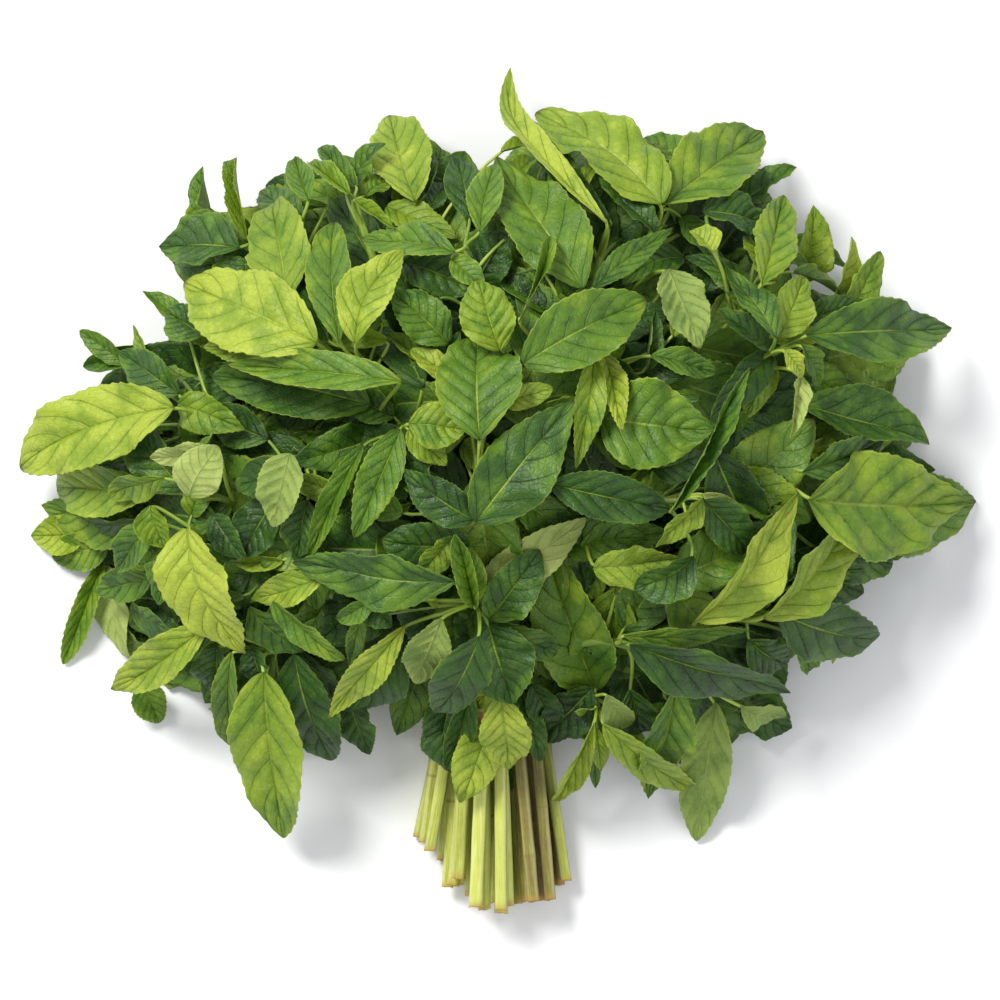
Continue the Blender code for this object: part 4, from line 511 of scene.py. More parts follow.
def stalks(tips):
    """One path for each stalk, from its cut end through the tie to its tip, kept clear of the others."""
    tie = xy(*TIE)
    ids = sorted(tips)
    elev = {k: math.atan2(tips[k][2] - 8.0, float(np.linalg.norm(tips[k][:2] - tie))) for k in ids}
    azim = {k: math.atan2(tips[k][0] - tie[0], max(2.0, tips[k][1] - tie[1] + 22.0)) for k in ids}
    rest = sorted(ids, key=lambda k: elev[k])
    paths, fixed, radii = {}, {}, {}
    for row, (count, z) in enumerate(ROWS):
        group = sorted(rest[:count], key=lambda k: azim[k])
        rest = rest[count:]
        for col, k in enumerate(group):
            off = (col - (count - 1) / 2.0) * PITCH
            p0 = np.array([tie[0] + off, tie[1], z])
            lateral = off / UNIT * 1.34
            lateral = lateral * (1.0 + 0.02 * row) + (3 if row % 2 else -3)
            reach = end_reach(lateral, row, k)
            zend = R_STALK * 0.93 + row * 4.35 - (0.0 if row == 0 else 0.35 * row)
            cut = np.array([tie[0] + lateral * UNIT, tie[1] - reach * UNIT, zend])
            tip = tips[k]
            d = float(np.linalg.norm(tip - p0))
            a = azim[k]
            e = elev[k]
            start = unit((0.75 * math.sin(a), max(0.5, math.cos(a)), 0.75 * math.sin(e)))
            end = SHOOTS[k][3]
            if end is None:
                out = unit(np.array([*(tip[:2] - xy(*DOME_C)), 0.0]))
                toward = unit(tip - p0)
                end = unit(0.6 * out + 0.7 * toward - np.array([0, 0, 0.35]))
            end = unit(end)
            upper = bezier((p0 + np.array([0, 5.0, 0]), p0 + np.array([0, 5.0, 0]) + start * 0.38 * d, tip - end * 0.36 * d, tip), 40)
            lower = np.stack([cut, 0.5 * (cut + p0) + np.array([0, 0, -0.4]), p0 + np.array([0, -5.0, 0])])
            low_pts = resample(lower, 10)
            up_pts = resample(upper, 30)
            mid = np.stack([p0])
            path = np.concatenate([low_pts, mid, up_pts])
            path[:, 2] = np.maximum(path[:, 2], R_STALK * 0.93)
            paths[k] = path
            w = np.ones(len(path))
            w[9:12] = 0.0
            w[-1] = 0.35
            fixed[k] = w
            t = np.clip((np.arange(len(path)) - 12) / 28.0, 0, 1)
            radii[k] = R_STALK * (1 - t) + R_TIP * t
    ids = sorted(paths)
    pts = np.concatenate([paths[k] for k in ids])
    rad = np.concatenate([radii[k] for k in ids])
    wgt = np.concatenate([fixed[k] for k in ids])
    own = np.concatenate([[n] * len(paths[k]) for n, k in enumerate(ids)])
    n_each = len(paths[ids[0]])
    for _ in range(90):
        diff = pts[:, None, :] - pts[None, :, :]
        dist = np.sqrt((diff ** 2).sum(2)) + 1e-9
        need = rad[:, None] + rad[None, :] + 0.75
        close = (dist < need) & (own[:, None] != own[None, :])
        if not close.any():
            break
        push = np.where(close, (need - dist) * 0.35, 0.0)[:, :, None] * diff / dist[:, :, None]
        step = push.sum(1)
        size = np.linalg.norm(step, axis=1)
        step *= (np.minimum(size, 0.8) / np.maximum(size, 1e-9))[:, None]
        step *= wgt[:, None]
        moved = (pts + step).reshape(len(ids), n_each, 3)
        smooth = moved.copy()
        smooth[:, 1:-1] = 0.25 * moved[:, :-2] + 0.5 * moved[:, 1:-1] + 0.25 * moved[:, 2:]
        w3 = wgt.reshape(len(ids), n_each, 1)
        moved = np.where(w3 > 0.9, 0.6 * moved + 0.4 * smooth, moved)
        pts = moved.reshape(-1, 3)
        pts[:, 2] = np.maximum(pts[:, 2], rad * 0.93)
    out = pts.reshape(len(ids), n_each, 3)
    return {k: (out[n], radii[k]) for n, k in enumerate(ids)}


def split_stalk(path, radii):
    """(bare stalk, leafy axis), each (points, radii), with the clearance between their ends."""
    up = path[10:]
    d = np.concatenate([[0], np.cumsum(np.linalg.norm(np.diff(up, axis=0), axis=1))])
    cut = min(BARE, 0.4 * d[-1])

    def at(s):
        return np.array([np.interp(s, d, up[:, i]) for i in range(3)]), float(np.interp(s, d, radii[10:]))
    keep = int((d < cut - 1.0).sum())
    a, ra = at(cut)
    b, rb = at(cut + GAP + 0.05)
    bare = np.concatenate([path[:10 + keep], a[None]])
    bare_r = np.concatenate([radii[:10 + keep], [ra]])
    first = int((d <= cut + 1.0).sum())
    leafy = np.concatenate([b[None], up[first:]])
    leafy_r = np.concatenate([[rb], radii[10 + first:]])
    return (bare, bare_r), (leafy, leafy_r)


def nearest(paths, point):
    """The nearest place on some paths: (distance, path number, position along it, point)."""
    best = None
    for n, path in enumerate(paths):
        a, b = path[:-1], path[1:]
        ab = b - a
        t = np.clip(((point - a) * ab).sum(1) / np.maximum((ab ** 2).sum(1), 1e-9), 0, 1)
        q = a + ab * t[:, None]
        d = np.linalg.norm(q - point, axis=1)
        i = int(d.argmin())
        if best is None or d[i] < best[0]:
            best = (float(d[i]), n, i + float(t[i]), q[i])
    return best


def attach(leaf, paths):
    """A petiole or a side twig from the shoot's own axis to the leaf's base."""
    dist, n, where, q = nearest(paths, leaf["base"])
    path = paths[n]
    i = min(int(where), len(path) - 2)
    along = unit(path[i + 1] - path[i])
    dirn = unit(leaf["tip"] - leaf["base"])
    base = leaf["base"]
    if dist > 10.0:
        back = max(0.0, where - min(3.0, dist / 7.0))
        i = min(int(back), len(path) - 2)
        q = path[i] + (path[i + 1] - path[i]) * (back - i)
        along = unit(path[i + 1] - path[i])
    q = q - along * (0.4 + 1.2 * rnd(leaf["key"], "q0")) + 0.35 * np.array([rnd(leaf["key"], "q%d" % m) - 0.5 for m in (1, 2, 3)])
    d = float(np.linalg.norm(base - q))
    stem = bezier((q, q + along * 0.3 * d, base - dirn * 0.35 * d, base + dirn * min(2.0, 0.1 * leaf["w"])), 9 if d > 8 else 6)
    stem[:, 2] = np.maximum(stem[:, 2], 1.2)
    leaf["stem"] = stem
    leaf["stem_r"] = 0.55 + 0.022 * min(d, 30.0)
    return stem, d


def covered(low):
    """Where the outer leaves hide what lies below them, grown a little to take in the gaps between them."""
    mask = low < 900.0
    wide = mask.copy()
    for _ in range(3):
        grown = wide.copy()
        grown[1:] |= wide[:-1]
        grown[:-1] |= wide[1:]
        grown[:, 1:] |= wide[:, :-1]
        grown[:, :-1] |= wide[:, 1:]
        wide = grown
    for _ in range(3):
        less = wide.copy()
        less[1:] &= wide[:-1]
        less[:-1] &= wide[1:]
        less[:, 1:] &= wide[:, :-1]
        less[:, :-1] &= wide[:, 1:]
        wide = less
    return wide


def fit_inside(leaf, low, mask):
    """Shortens and lowers an inner leaf until the outer ones hide it; False if it can't be."""
    for _ in range(5):
        pts, _n = blade(leaf, COARSE_U, COARSE_V, False)
        i, j = cells(pts)
        if mask[i, j].mean() > 0.97:
            break
        leaf["tip"] = leaf["base"] + (leaf["tip"] - leaf["base"]) * 0.82
        leaf["w"] *= 0.88
    else:
        return False
    z0 = float(leaf["base"][2])
    tuck_under(leaf, low, 1.4, 60.0)
    settle(leaf)
    pts, _n = blade(leaf, COARSE_U, COARSE_V, False)
    i, j = cells(pts)
    length = float(np.linalg.norm(leaf["tip"] - leaf["base"]))
    return z0 - float(leaf["base"][2]) < 12.0 and length > 9.0 and float((pts[..., 2] - low[i, j]).max()) < 3.0


def inner_leaves(shoots, low):
    """The opposite pairs along each leafy axis, and the skirt of low leaves round the bunch."""
    mask = covered(low)
    made = []
    for k in sorted(shoots):
        pts, _r = shoots[k]["axis"]
        d = np.concatenate([[0], np.cumsum(np.linalg.norm(np.diff(pts, axis=0), axis=1))])
        s, j = 3.0, 0
        while s < d[-1] - 4.0:
            p = np.array([np.interp(s, d, pts[:, i]) for i in range(3)])
            q = np.array([np.interp(s + 2.0, d, pts[:, i]) for i in range(3)])
            t = unit(q - p)
            e1 = unit(np.cross(t, (0.0, 0.0, 1.0)))
            e2 = np.cross(e1, t)
            a0 = 3.14 * rnd("a", k) + (j % 2) * math.pi / 2
            for m in (0, 1):
                key = "i%d_%d_%d" % (k, j, m)
                a = a0 + m * math.pi + 0.5 * (rnd(key, 1) - 0.5)
                th = math.radians(48 + 26 * rnd(key, 2))
                dirn = unit(math.cos(th) * t + math.sin(th) * (math.cos(a) * e1 + math.sin(a) * e2) - np.array([0, 0, 0.22]))
                length = 24 + 15 * rnd(key, 3)
                base = p + dirn * 4.0
                tip = base + dirn * length
                tip[2] = max(tip[2], 2.0)
                ref = unit((0, 0, 1.0) + 0.5 * dome_normal(*tip[:2]))
                # inner leaves get dark tones: painted shade for leaves that lie deep in the bunch
                leaf = make_leaf(k, key, base, tip, length * (0.44 + 0.1 * rnd(key, 4)), 0.1 + 0.35 * rnd(key, 5), ref, {})
                leaf["hero"] = False
                leaf["layer"] = 5
                if fit_inside(leaf, low, mask):
                    made.append(leaf)
            s += 11.5 + 3.0 * rnd("sp", k, j)
            j += 1
    c = xy(*DOME_C)
    a = np.array(DOME_A) * UNIT
    tier = ((46, 0.70, 0.98, 7.0, 2.0), (40, 0.64, 0.92, 22.0, 7.0), (30, 0.5, 0.74, 14.0, 2.5), (22, 0.45, 0.7, 34.0, 18.0))
    for n, (count, r0, r1, z0, z1) in enumerate(tier):
        for m in range(count):
            key = "k%d_%d" % (n, m)
            ang = 2 * math.pi * (m + 0.6 * rnd(key, 0)) / count
            u0 = np.array([math.cos(ang), math.sin(ang)])
            turn = ang + 0.7 * (rnd(key, 6) - 0.5)
            u1 = np.array([math.cos(turn), math.sin(turn)])
            if math.sin(ang) < -0.72 and abs(math.cos(ang)) < 0.45 and z0 < 30:
                continue
            ax = a[0] if u0[0] < 0 else a[1]
            ay = a[2] if u0[1] > 0 else a[3]
            b = c + u0 * (ax, ay) * (r0 + 0.06 * (rnd(key, 1) - 0.5))
            e = b + unit(u1 * (ax, ay)) * (r1 - r0) * 0.5 * (ax + ay) * (0.9 + 0.35 * rnd(key, 2))
            base = np.array([*b, z0 + 4 * rnd(key, 3)])
            tip = np.array([*e, z1 + 3 * rnd(key, 4)])
            length = float(np.linalg.norm(tip - base))
            best = None
            for k in sorted(shoots):
                dist = nearest([shoots[k]["axis"][0]], base)[0]
                if best is None or dist < best[0]:
                    best = (dist, k)
            if best[0] > 42.0:
                continue
            ref = unit(np.array([u0[0] * 0.9, u0[1] * 0.9, 0.9]))
            leaf = make_leaf(best[1], key, base, tip, length * (0.48 + 0.14 * rnd(key, 5)), 0.15 + 0.5 * rnd(key, 7), ref, dict(b=0.1))
            leaf["hero"] = False
            leaf["layer"] = 4
            leaf["skirt"] = True
            if fit_inside(leaf, low, mask):
                made.append(leaf)
    return made


def plan():
    """Everything in the bunch: stalks, leafy axes, leaves with their petioles."""
    low = np.full((NCELL, NCELL), 1e3)
    heroes = outer_leaves(low)
    tips = {}
    for k, (px, py, under, _) in SHOOTS.items():
        t = xy(px, py)
        mine = [l for l in heroes if l["shoot"] == k]
        near = sorted(mine, key=lambda l: float(np.linalg.norm(l["base"][:2] - t)))[:3]
        z = min(float(np.mean([l["base"][2] for l in near])), float(dome(*t))) - under
        tips[k] = np.array([*t, max(6.0, z)])
    raw = stalks(tips)
    shoots = {}
    for k in sorted(raw):
        bare, leafy = split_stalk(*raw[k])
        shoots[k] = dict(bare=bare, axis=leafy)
    inner = inner_leaves(shoots, low)
    leaves = heroes + inner
    for leaf in leaves:
        attach(leaf, [shoots[leaf["shoot"]]["axis"][0]])
    return leaves, shoots


def tie_outline(shoots, grow, count):
    """The outline of a band round the stalks at the tie, in X and Z, grown outwards."""
    tie = xy(*TIE)
    centres = []
    for k in sorted(shoots):
        pts, _r = shoots[k]["bare"]
        i = int(np.abs(pts[:, 1] - tie[1]).argmin())
        centres.append((pts[i, 0], pts[i, 2]))
    centres = np.array(centres)
    out = []
    for n in range(count):
        th = 2 * math.pi * n / count
        e = 0.02
        h = [float((centres @ (math.cos(x), math.sin(x))).max()) for x in (th - e, th, th + e)]
        g = (h[2] - h[0]) / (2 * e)
        r = h[1] + R_STALK + grow
        out.append((r * math.cos(th) - g * math.sin(th), r * math.sin(th) + g * math.cos(th)))
    return np.array(out), tie[1]


# ---------------------------------------------------------------------------
# Meshes
# ---------------------------------------------------------------------------
leaves, shoots = plan()


def place(px, py, z):
    return np.array([*xy(px, py), z])


# leaves that hang over the tie and lie on the stalks, with the heights that clear them
for leaf in leaves:
    if leaf["hero"] and abs(leaf["tip"][0] - xy(497, 0)[0]) < 66 * UNIT and leaf["tip"][1] < xy(0, 735)[1] and leaf["base"][0] < xy(530, 0)[0]:
        wide = leaf["w"] / UNIT
        high = 35.0 if leaf["tone"] > 0.76 else 32.0 if leaf["tone"] > 0.7 else 30.0
        if wide > 15 and leaf["base"][1] > xy(0, 745)[1]:
            leaf["base"][2] = max(leaf["base"][2], high)
            leaf["tip"][2] = max(leaf["tip"][2], high - 4.0)

# (shoot, base, tip, width, tone, base height, tip height, options), drafting units and mm
OVER = (
    (25, 592, 688, 541, 741, 48, .10, 36, 27, dict(f=12, b=.08)),
    (23, 452, 684, 434, 760, 46, .12, 35, 24, dict(f=12, b=.08)),
    (23, 470, 690, 446, 772, 30, .30, 36, 27, dict(f=22, b=.06)),
    (20, 532, 684, 560, 728, 34, .22, 37, 29, dict(f=14, b=.08)),
    (23, 520, 690, 540, 762, 26, .30, 33, 27, dict(f=20, b=.08)),
    (25, 560, 676, 574, 716, 30, .18, 34, 28, dict(f=14, b=.06)),
)
for m, (k, bx, by, tx, ty, width, tone, zb, zt, opts) in enumerate(OVER):
    leaf = make_leaf(k, "over%d" % m, place(bx, by, zb), place(tx, ty, zt), width * UNIT, tone, unit((0.0, -0.35, 1.0)), opts)
    leaf["hero"], leaf["layer"] = True, 1
    leaves.append(leaf)


def fill_gaps():
    """Leaves deeper in the bunch, wherever the outer ones leave its inside open to view."""
    low = np.full((NCELL, NCELL), 1e3)
    top = np.full((NCELL, NCELL), -30.0)
    for leaf in leaves:
        if leaf["hero"]:
            press(leaf, low)
        pts, _n = blade(leaf, COARSE_U, COARSE_V, False)
        i, j = cells(pts)
        np.maximum.at(top, (i, j), pts[..., 2])
    mask = covered(low)
    made = []
    c = xy(*DOME_C)
    a = np.array(DOME_A) * UNIT
    step = 6.5
    for deep, want in ((13.0, 8.0), (17.0, 13.0), (24.0, 20.0)):
        for ix in range(-19, 20):
            for iy in range(-17, 18):
                key = "g%d_%d_%d" % (int(deep), ix, iy)
                x = c[0] + step * (ix + 0.7 * (rnd(key, 0) - 0.5))
                y = c[1] + step * (iy + 0.7 * (rnd(key, 1) - 0.5))
                rx = (x - c[0]) / (a[0] if x < c[0] else a[1])
                ry = (y - c[1]) / (a[2] if y > c[1] else a[3])
                r = math.hypot(rx, ry)
                if r > 0.93 or (y < xy(0, 690)[1] and abs(x - xy(492, 0)[0]) < 78 * UNIT):
                    continue
                i, j = cells(np.array([x, y, 0.0]))
                here = float(top[i - 1:i + 2, j - 1:j + 2].mean())
                roof = float(dome(x, y))
                if roof - here < deep + 3.0 or not (mask[i, j] or r < 0.86):
                    continue
                out = math.atan2(y - c[1], x - c[0]) + 1.9 * (rnd(key, 2) - 0.5)
                u0 = np.array([math.cos(out), math.sin(out)])
                length = 23.0 + 13.0 * rnd(key, 3)
                z = max(7.0, roof - want - 3.0 * rnd(key, 4))
                base = np.array([*(np.array([x, y]) - u0 * 0.45 * length), z + 2.0])
                tip = np.array([*(np.array([x, y]) + u0 * 0.55 * length), max(3.0, z - 3.0 - 5.0 * rnd(key, 5))])
                near = min((nearest([shoots[k]["axis"][0]], base)[0], k) for k in shoots)
                if near[0] > 40.0:
                    continue
                # these deeper leaves get dark tones: painted shade for leaves that lie deep in the bunch
                leaf = make_leaf(near[1], key, base, tip, length * (0.46 + 0.14 * rnd(key, 6)), 0.12 + 0.42 * rnd(key, 7),
                                 unit((0.25 * (rnd(key, 8) - 0.5), 0.25 * (rnd(key, 9) - 0.5), 1.0)), {})
                leaf["hero"], leaf["layer"] = False, 5
                tuck_under(leaf, low, 1.2, 26.0)
                settle(leaf)
                pts, _n = blade(leaf, COARSE_U, COARSE_V, False)
                i, j = cells(pts)
                if mask[i, j].mean() < 0.9 and r > 0.72:
                    continue
                np.maximum.at(top, (i, j), pts[..., 2])
                made.append(leaf)
    return made


fillers = fill_gaps()
print("leaves:", len(leaves), "and in the gaps:", len(fillers))
leaves = leaves + fillers


def young_leaves(count):
    """Small folded leaves that show between the big ones, just under them."""
    low = np.full((NCELL, NCELL), 1e3)
    for leaf in leaves:
        if leaf["hero"]:
            press(leaf, low)
    c = xy(*DOME_C)
    a = np.array(DOME_A) * UNIT
    made = []
    for m in range(count):
        key = "y%d" % m
        r, th = math.sqrt(rnd(key, 0)) * 0.93, 6.2832 * rnd(key, 1)
        x = c[0] + r * math.cos(th) * (a[0] if math.cos(th) < 0 else a[1])
        y = c[1] + r * math.sin(th) * (a[2] if math.sin(th) > 0 else a[3])
        if y < xy(0, 680)[1] and abs(x - xy(492, 0)[0]) < 90 * UNIT:
            continue
        out = math.atan2(y - c[1], x - c[0]) + 2.4 * (rnd(key, 2) - 0.5)
        u0 = np.array([math.cos(out), math.sin(out)])
        length = 13.0 + 11.0 * rnd(key, 3)
        z = max(6.0, float(dome(x, y)) - 3.0 - 5.0 * rnd(key, 4))
        base = np.array([*(np.array([x, y]) - u0 * 0.5 * length), z])
        tip = np.array([*(np.array([x, y]) + u0 * 0.5 * length), max(3.0, z - 1.0 - 4.0 * rnd(key, 5))])
        near = min((nearest([shoots[k]["axis"][0]], base)[0], k) for k in shoots)
        if near[0] > 30.0:
            continue
        leaf = make_leaf(near[1], key, base, tip, length * (0.30 + 0.2 * rnd(key, 6)), 0.30 + 0.5 * rnd(key, 7), dome_normal(x, y),
                         dict(f=14 + 30 * rnd(key, 8), r=50 * (rnd(key, 9) - 0.5), b=0.12 * (rnd(key, 10) - 0.3)))
        leaf["hero"], leaf["layer"] = False, 3
        tuck_under(leaf, low, 0.9, 18.0)
        settle(leaf)
        if z - float(leaf["base"][2]) > 13.0:
            continue
        press(leaf, low)
        made.append(leaf)
    return made


young = young_leaves(210)
print("young leaves:", len(young))
leaves = leaves + young


def petiole(leaf):
    """A short stalk that leaves the axis along it and runs into the blade's base."""
    axis = shoots[leaf["shoot"]]["axis"][0]
    attach(leaf, [axis])
    q, base = leaf["stem"][0], leaf["base"]
    along = unit(leaf["stem"][1] - q)
    dirn = unit(leaf["tip"] - base)
    d = float(np.linalg.norm(base - q))
    into = base + dirn * min(2.6, 0.16 * leaf["w"]) - np.array([0, 0, 0.1])
    path = bezier((q, q + along * 0.3 * d, base - dirn * min(0.3 * d, 2.6) - np.array([0, 0, 0.12 * d]), into), 14 if d > 8 else 8)
    path[:, 2] = np.maximum(path[:, 2], 1.0)
    return path, (0.46 + 0.007 * min(d, 30.0)) * (0.8 + 0.012 * leaf["w"])
band_low, band_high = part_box("band")
ring, ring_y = tie_outline(shoots, 0.6, 160)
core_mid = np.array([0.5 * (ring[:, 0].min() + ring[:, 0].max()), ring_y, 0.5 * (ring[:, 1].min() + ring[:, 1].max())])
SHIFT = core_mid - 500.0 * np.array([a + b for a, b in zip(band_low, band_high)])
print("shift from the core to the row, mm:", [round(float(x), 4) for x in SHIFT])


class Heap:
    """Verts, faces and per-vertex values gathered into one mesh."""

    def __init__(self):
        self.verts, self.quads, self.tris = [], [], []
        self.quad_mat, self.tri_mat = [], []
        self.values = {}
        self.count = 0

    def add(self, verts, quads, tris, quad_mat, tri_mat, **values):
        n = len(verts)
        self.verts.append(verts)
        self.quads.append(np.asarray(quads, np.int64).reshape(-1, 4) + self.count)
        self.tris.append(np.asarray(tris, np.int64).reshape(-1, 3) + self.count)
        self.quad_mat.append(np.broadcast_to(quad_mat, len(self.quads[-1])))
        self.tri_mat.append(np.broadcast_to(tri_mat, len(self.tris[-1])))
        for name, value in values.items():
            value = np.asarray(value, float)
            if value.ndim == 0:
                value = np.full(n, float(value))
            self.values.setdefault(name, []).append(value)
        self.count += n

    def mesh(self, name, materials):
        verts = (np.concatenate(self.verts) - SHIFT) * 0.001
        verts[:, 2] = np.maximum(verts[:, 2], 0.0002)
        quads, tris = np.concatenate(self.quads), np.concatenate(self.tris)
        me = bpy.data.meshes.new(name)
        me.vertices.add(len(verts))
        me.vertices.foreach_set("co", verts.astype(np.float32).ravel())
        loops = np.concatenate([quads.ravel(), tris.ravel()]).astype(np.int32)
        me.loops.add(len(loops))
        me.loops.foreach_set("vertex_index", loops)
        starts = np.concatenate([np.arange(len(quads)) * 4, len(quads) * 4 + np.arange(len(tris)) * 3]).astype(np.int32)
        me.polygons.add(len(starts))
        me.polygons.foreach_set("loop_start", starts)
        for material in materials:
            me.materials.append(material)
        me.polygons.foreach_set("material_index", np.concatenate(self.quad_mat + self.tri_mat).astype(np.int32))
        me.polygons.foreach_set("use_smooth", np.ones(len(starts), bool))
        me.update(calc_edges=True)
        for key, parts in self.values.items():
            data = np.concatenate(parts)
            if key == "uv":
                layer = me.uv_layers.new(name="leaf_uv")
                layer.uv.foreach_set("vector", data[loops].astype(np.float32).ravel())
            elif data.ndim == 2:
                at = me.attributes.new(key, "FLOAT_VECTOR", "POINT")
                at.data.foreach_set("vector", data.astype(np.float32).ravel())
            else:
                at = me.attributes.new(key, "FLOAT", "POINT")
                at.data.foreach_set("value", data.astype(np.float32))
        me.validate()
        obj = bpy.data.objects.new(name, me)
        bpy.context.scene.collection.objects.link(obj)
        return obj


V_FINE = np.array([0.0, 0.035, 0.085, 0.16, 0.26, 0.37, 0.49, 0.61, 0.73, 0.84, 0.92, 0.97, 1.0])
V_PLAIN = np.array([0.0, 0.1, 0.35, 0.65, 0.9, 1.0])


def add_leaf(heap, leaf):
    """One blade as a thin closed body: its upper and under sides meet along the toothed margin."""
    length = float(np.linalg.norm(leaf["tip"] - leaf["base"]))
    hero = leaf["hero"]
    half = V_FINE if hero else V_PLAIN
    vs = np.concatenate([-half[:0:-1], half])
    nu = int(np.clip(length / 0.36, 40, 104)) if hero else int(np.clip(length / 0.9, 20, 40))
    t = np.linspace(0, 1, nu)
    us = t - 0.055 * np.sin(2 * math.pi * t) / (2 * math.pi) * 4
    pts, nrm = blade(leaf, us, vs, True)
    av = np.abs(vs)
    thick = 0.15 * np.sqrt(np.clip(1 - av ** 6, 0, 1))[None, :, None]
    thick = thick + 0.22 * (np.exp(-(vs / 0.07) ** 2)[None] * (1 - us)[:, None] ** 0.7)[:, :, None] * (0.5 + 0.02 * leaf["w"])
    upper = pts + nrm * thick * (0.35 if leaf["under"] == 0 else 1.0)
    lower = pts - nrm * thick * (1.0 if leaf["under"] == 0 else 0.35)
    upper[:, 0] = lower[:, 0] = pts[:, 0]
    upper[:, -1] = lower[:, -1] = pts[:, -1]
    rows, cols = nu - 2, len(vs)
    top = upper[1:-1].reshape(-1, 3)
    bottom = lower[1:-1, 1:-1].reshape(-1, 3)
    ends = np.stack([pts[0, cols // 2], pts[-1, cols // 2]])
    verts = np.concatenate([top, bottom, ends])
    a = np.arange(rows * cols).reshape(rows, cols)
    b = a.copy()
    b[:, 1:-1] = rows * cols + np.arange(rows * (cols - 2)).reshape(rows, cols - 2)
    p0, p1 = len(top) + len(bottom), len(top) + len(bottom) + 1

    def faces(m, flip):
        q = np.stack([m[:-1, :-1], m[:-1, 1:], m[1:, 1:], m[1:, :-1]], -1).reshape(-1, 4)
        first = np.stack([np.full(cols - 1, p0), m[0, 1:], m[0, :-1]], -1)
        last = np.stack([np.full(cols - 1, p1), m[-1, :-1], m[-1, 1:]], -1)
        tr = np.concatenate([first, last])
        return (q[:, ::-1], tr[:, ::-1]) if flip else (q, tr)
    qa, ta = faces(a, False)
    qb, tb = faces(b, True)
    up, low = (1, 0) if leaf["under"] else (0, 1)
    hw = 0.5 * leaf["w"]
    grid_uv = np.stack(np.broadcast_arrays(us[:, None], (0.5 + 0.5 * vs)[None]), -1)
    uv = np.concatenate([grid_uv[1:-1].reshape(-1, 2), grid_uv[1:-1, 1:-1].reshape(-1, 2), [[0, 0.5], [1, 0.5]]])
    flat = np.stack([uv[:, 0] * length, (uv[:, 1] * 2 - 1) * hw, np.full(len(uv), 40.0 * rnd(leaf["key"], "z"))], -1)
    # the leaf's tone holds its own green together with painted light and shade: bright for lit leaves, dark for shaded
    # ones
    heap.add(verts, np.concatenate([qa, qb]), np.concatenate([ta, tb]),
             np.concatenate([np.full(len(qa), up), np.full(len(qb), low)]),
             np.concatenate([np.full(len(ta), up), np.full(len(tb), low)]),
             uv=uv, leaf_flat=flat, leaf_tone=leaf["tone"] * 1.08, leaf_age=leaf["age"], leaf_veins=leaf["veins"],
             leaf_seed=rnd(leaf["key"], "seed"))


def frames(path):
    """A tangent and two steady cross directions at each point of a path."""
    tan = np.gradient(path, axis=0)
    tan /= np.linalg.norm(tan, axis=1)[:, None] + 1e-12
    side = np.cross(tan[0], (0.0, 0.0, 1.0))
    if np.linalg.norm(side) < 0.2:
        side = np.cross(tan[0], (1.0, 0.0, 0.0))
    out = []
    for t in tan:
        side = side - t * (side @ t)
        side = side / np.linalg.norm(side)
        out.append((side, np.cross(side, t)))
    return tan, np.array([o[0] for o in out]), np.array([o[1] for o in out])


def smooth_path(path, radii, n):
    d = np.concatenate([[0], np.cumsum(np.linalg.norm(np.diff(path, axis=0), axis=1))])
    s = np.linspace(0, d[-1], n)
    m = np.gradient(path, d, axis=0)
    i = np.clip(np.searchsorted(d, s, side="right") - 1, 0, len(d) - 2)
    h = (d[i + 1] - d[i])[:, None]
    x = (s - d[i])[:, None] / h
    out = ((1 + 2 * x) * (1 - x) ** 2 * path[i] + x * (1 - x) ** 2 * h * m[i]
           + x * x * (3 - 2 * x) * path[i + 1] + x * x * (x - 1) * h * m[i + 1])
    return out, np.interp(s, d, radii), s


def add_tube(heap, path, radii, sides, square, turn, mat=0, ends=(0.5, 0.5), **values):
    """A closed tube with softly squared, ridged sides. ends gives how round each end is."""
    _tan, e1, e2 = frames(path)
    ang = 2 * math.pi * (np.arange(sides) + 0.5) / sides
    shape = 1 + square * np.cos(4 * (ang - turn))
    rings = path[:, None] + (radii[:, None] * shape[None])[:, :, None] * (
        np.cos(ang)[None, :, None] * e1[:, None] + np.sin(ang)[None, :, None] * e2[:, None])
    a, b = path[0] - _tan[0] * radii[0] * ends[0], path[-1] + _tan[-1] * radii[-1] * ends[1]
    verts = np.concatenate([rings.reshape(-1, 3), [a, b]])
    n = len(path)
    idx = np.arange(n * sides).reshape(n, sides)
    nxt = np.roll(idx, -1, axis=1)
    quads = np.stack([idx[:-1], idx[1:], nxt[1:], nxt[:-1]], -1).reshape(-1, 4)
    first = np.stack([np.full(sides, n * sides), idx[0], nxt[0]], -1)
    last = np.stack([np.full(sides, n * sides + 1), nxt[-1], idx[-1]], -1)
    tris = np.concatenate([first, last])
    out = {}
    for key, value in values.items():
        value = np.asarray(value, float)
        if value.ndim == 1 and len(value) == n:
            value = np.concatenate([np.repeat(value, sides), [value[0], value[-1]]])
        out[key] = value
    heap.add(verts, quads, tris, mat, mat, **out)
    return verts


# ---------------------------------------------------------------------------
# Materials
# ---------------------------------------------------------------------------
def rgb(r, g, b):
    """A colour given as it looks, 0 to 255, in the renderer's linear values."""
    return tuple(((c / 255.0) / 12.92 if c / 255.0 <= 0.04045 else ((c / 255.0 + 0.055) / 1.055) ** 2.4) for c in (r, g, b)) + (1.0,)


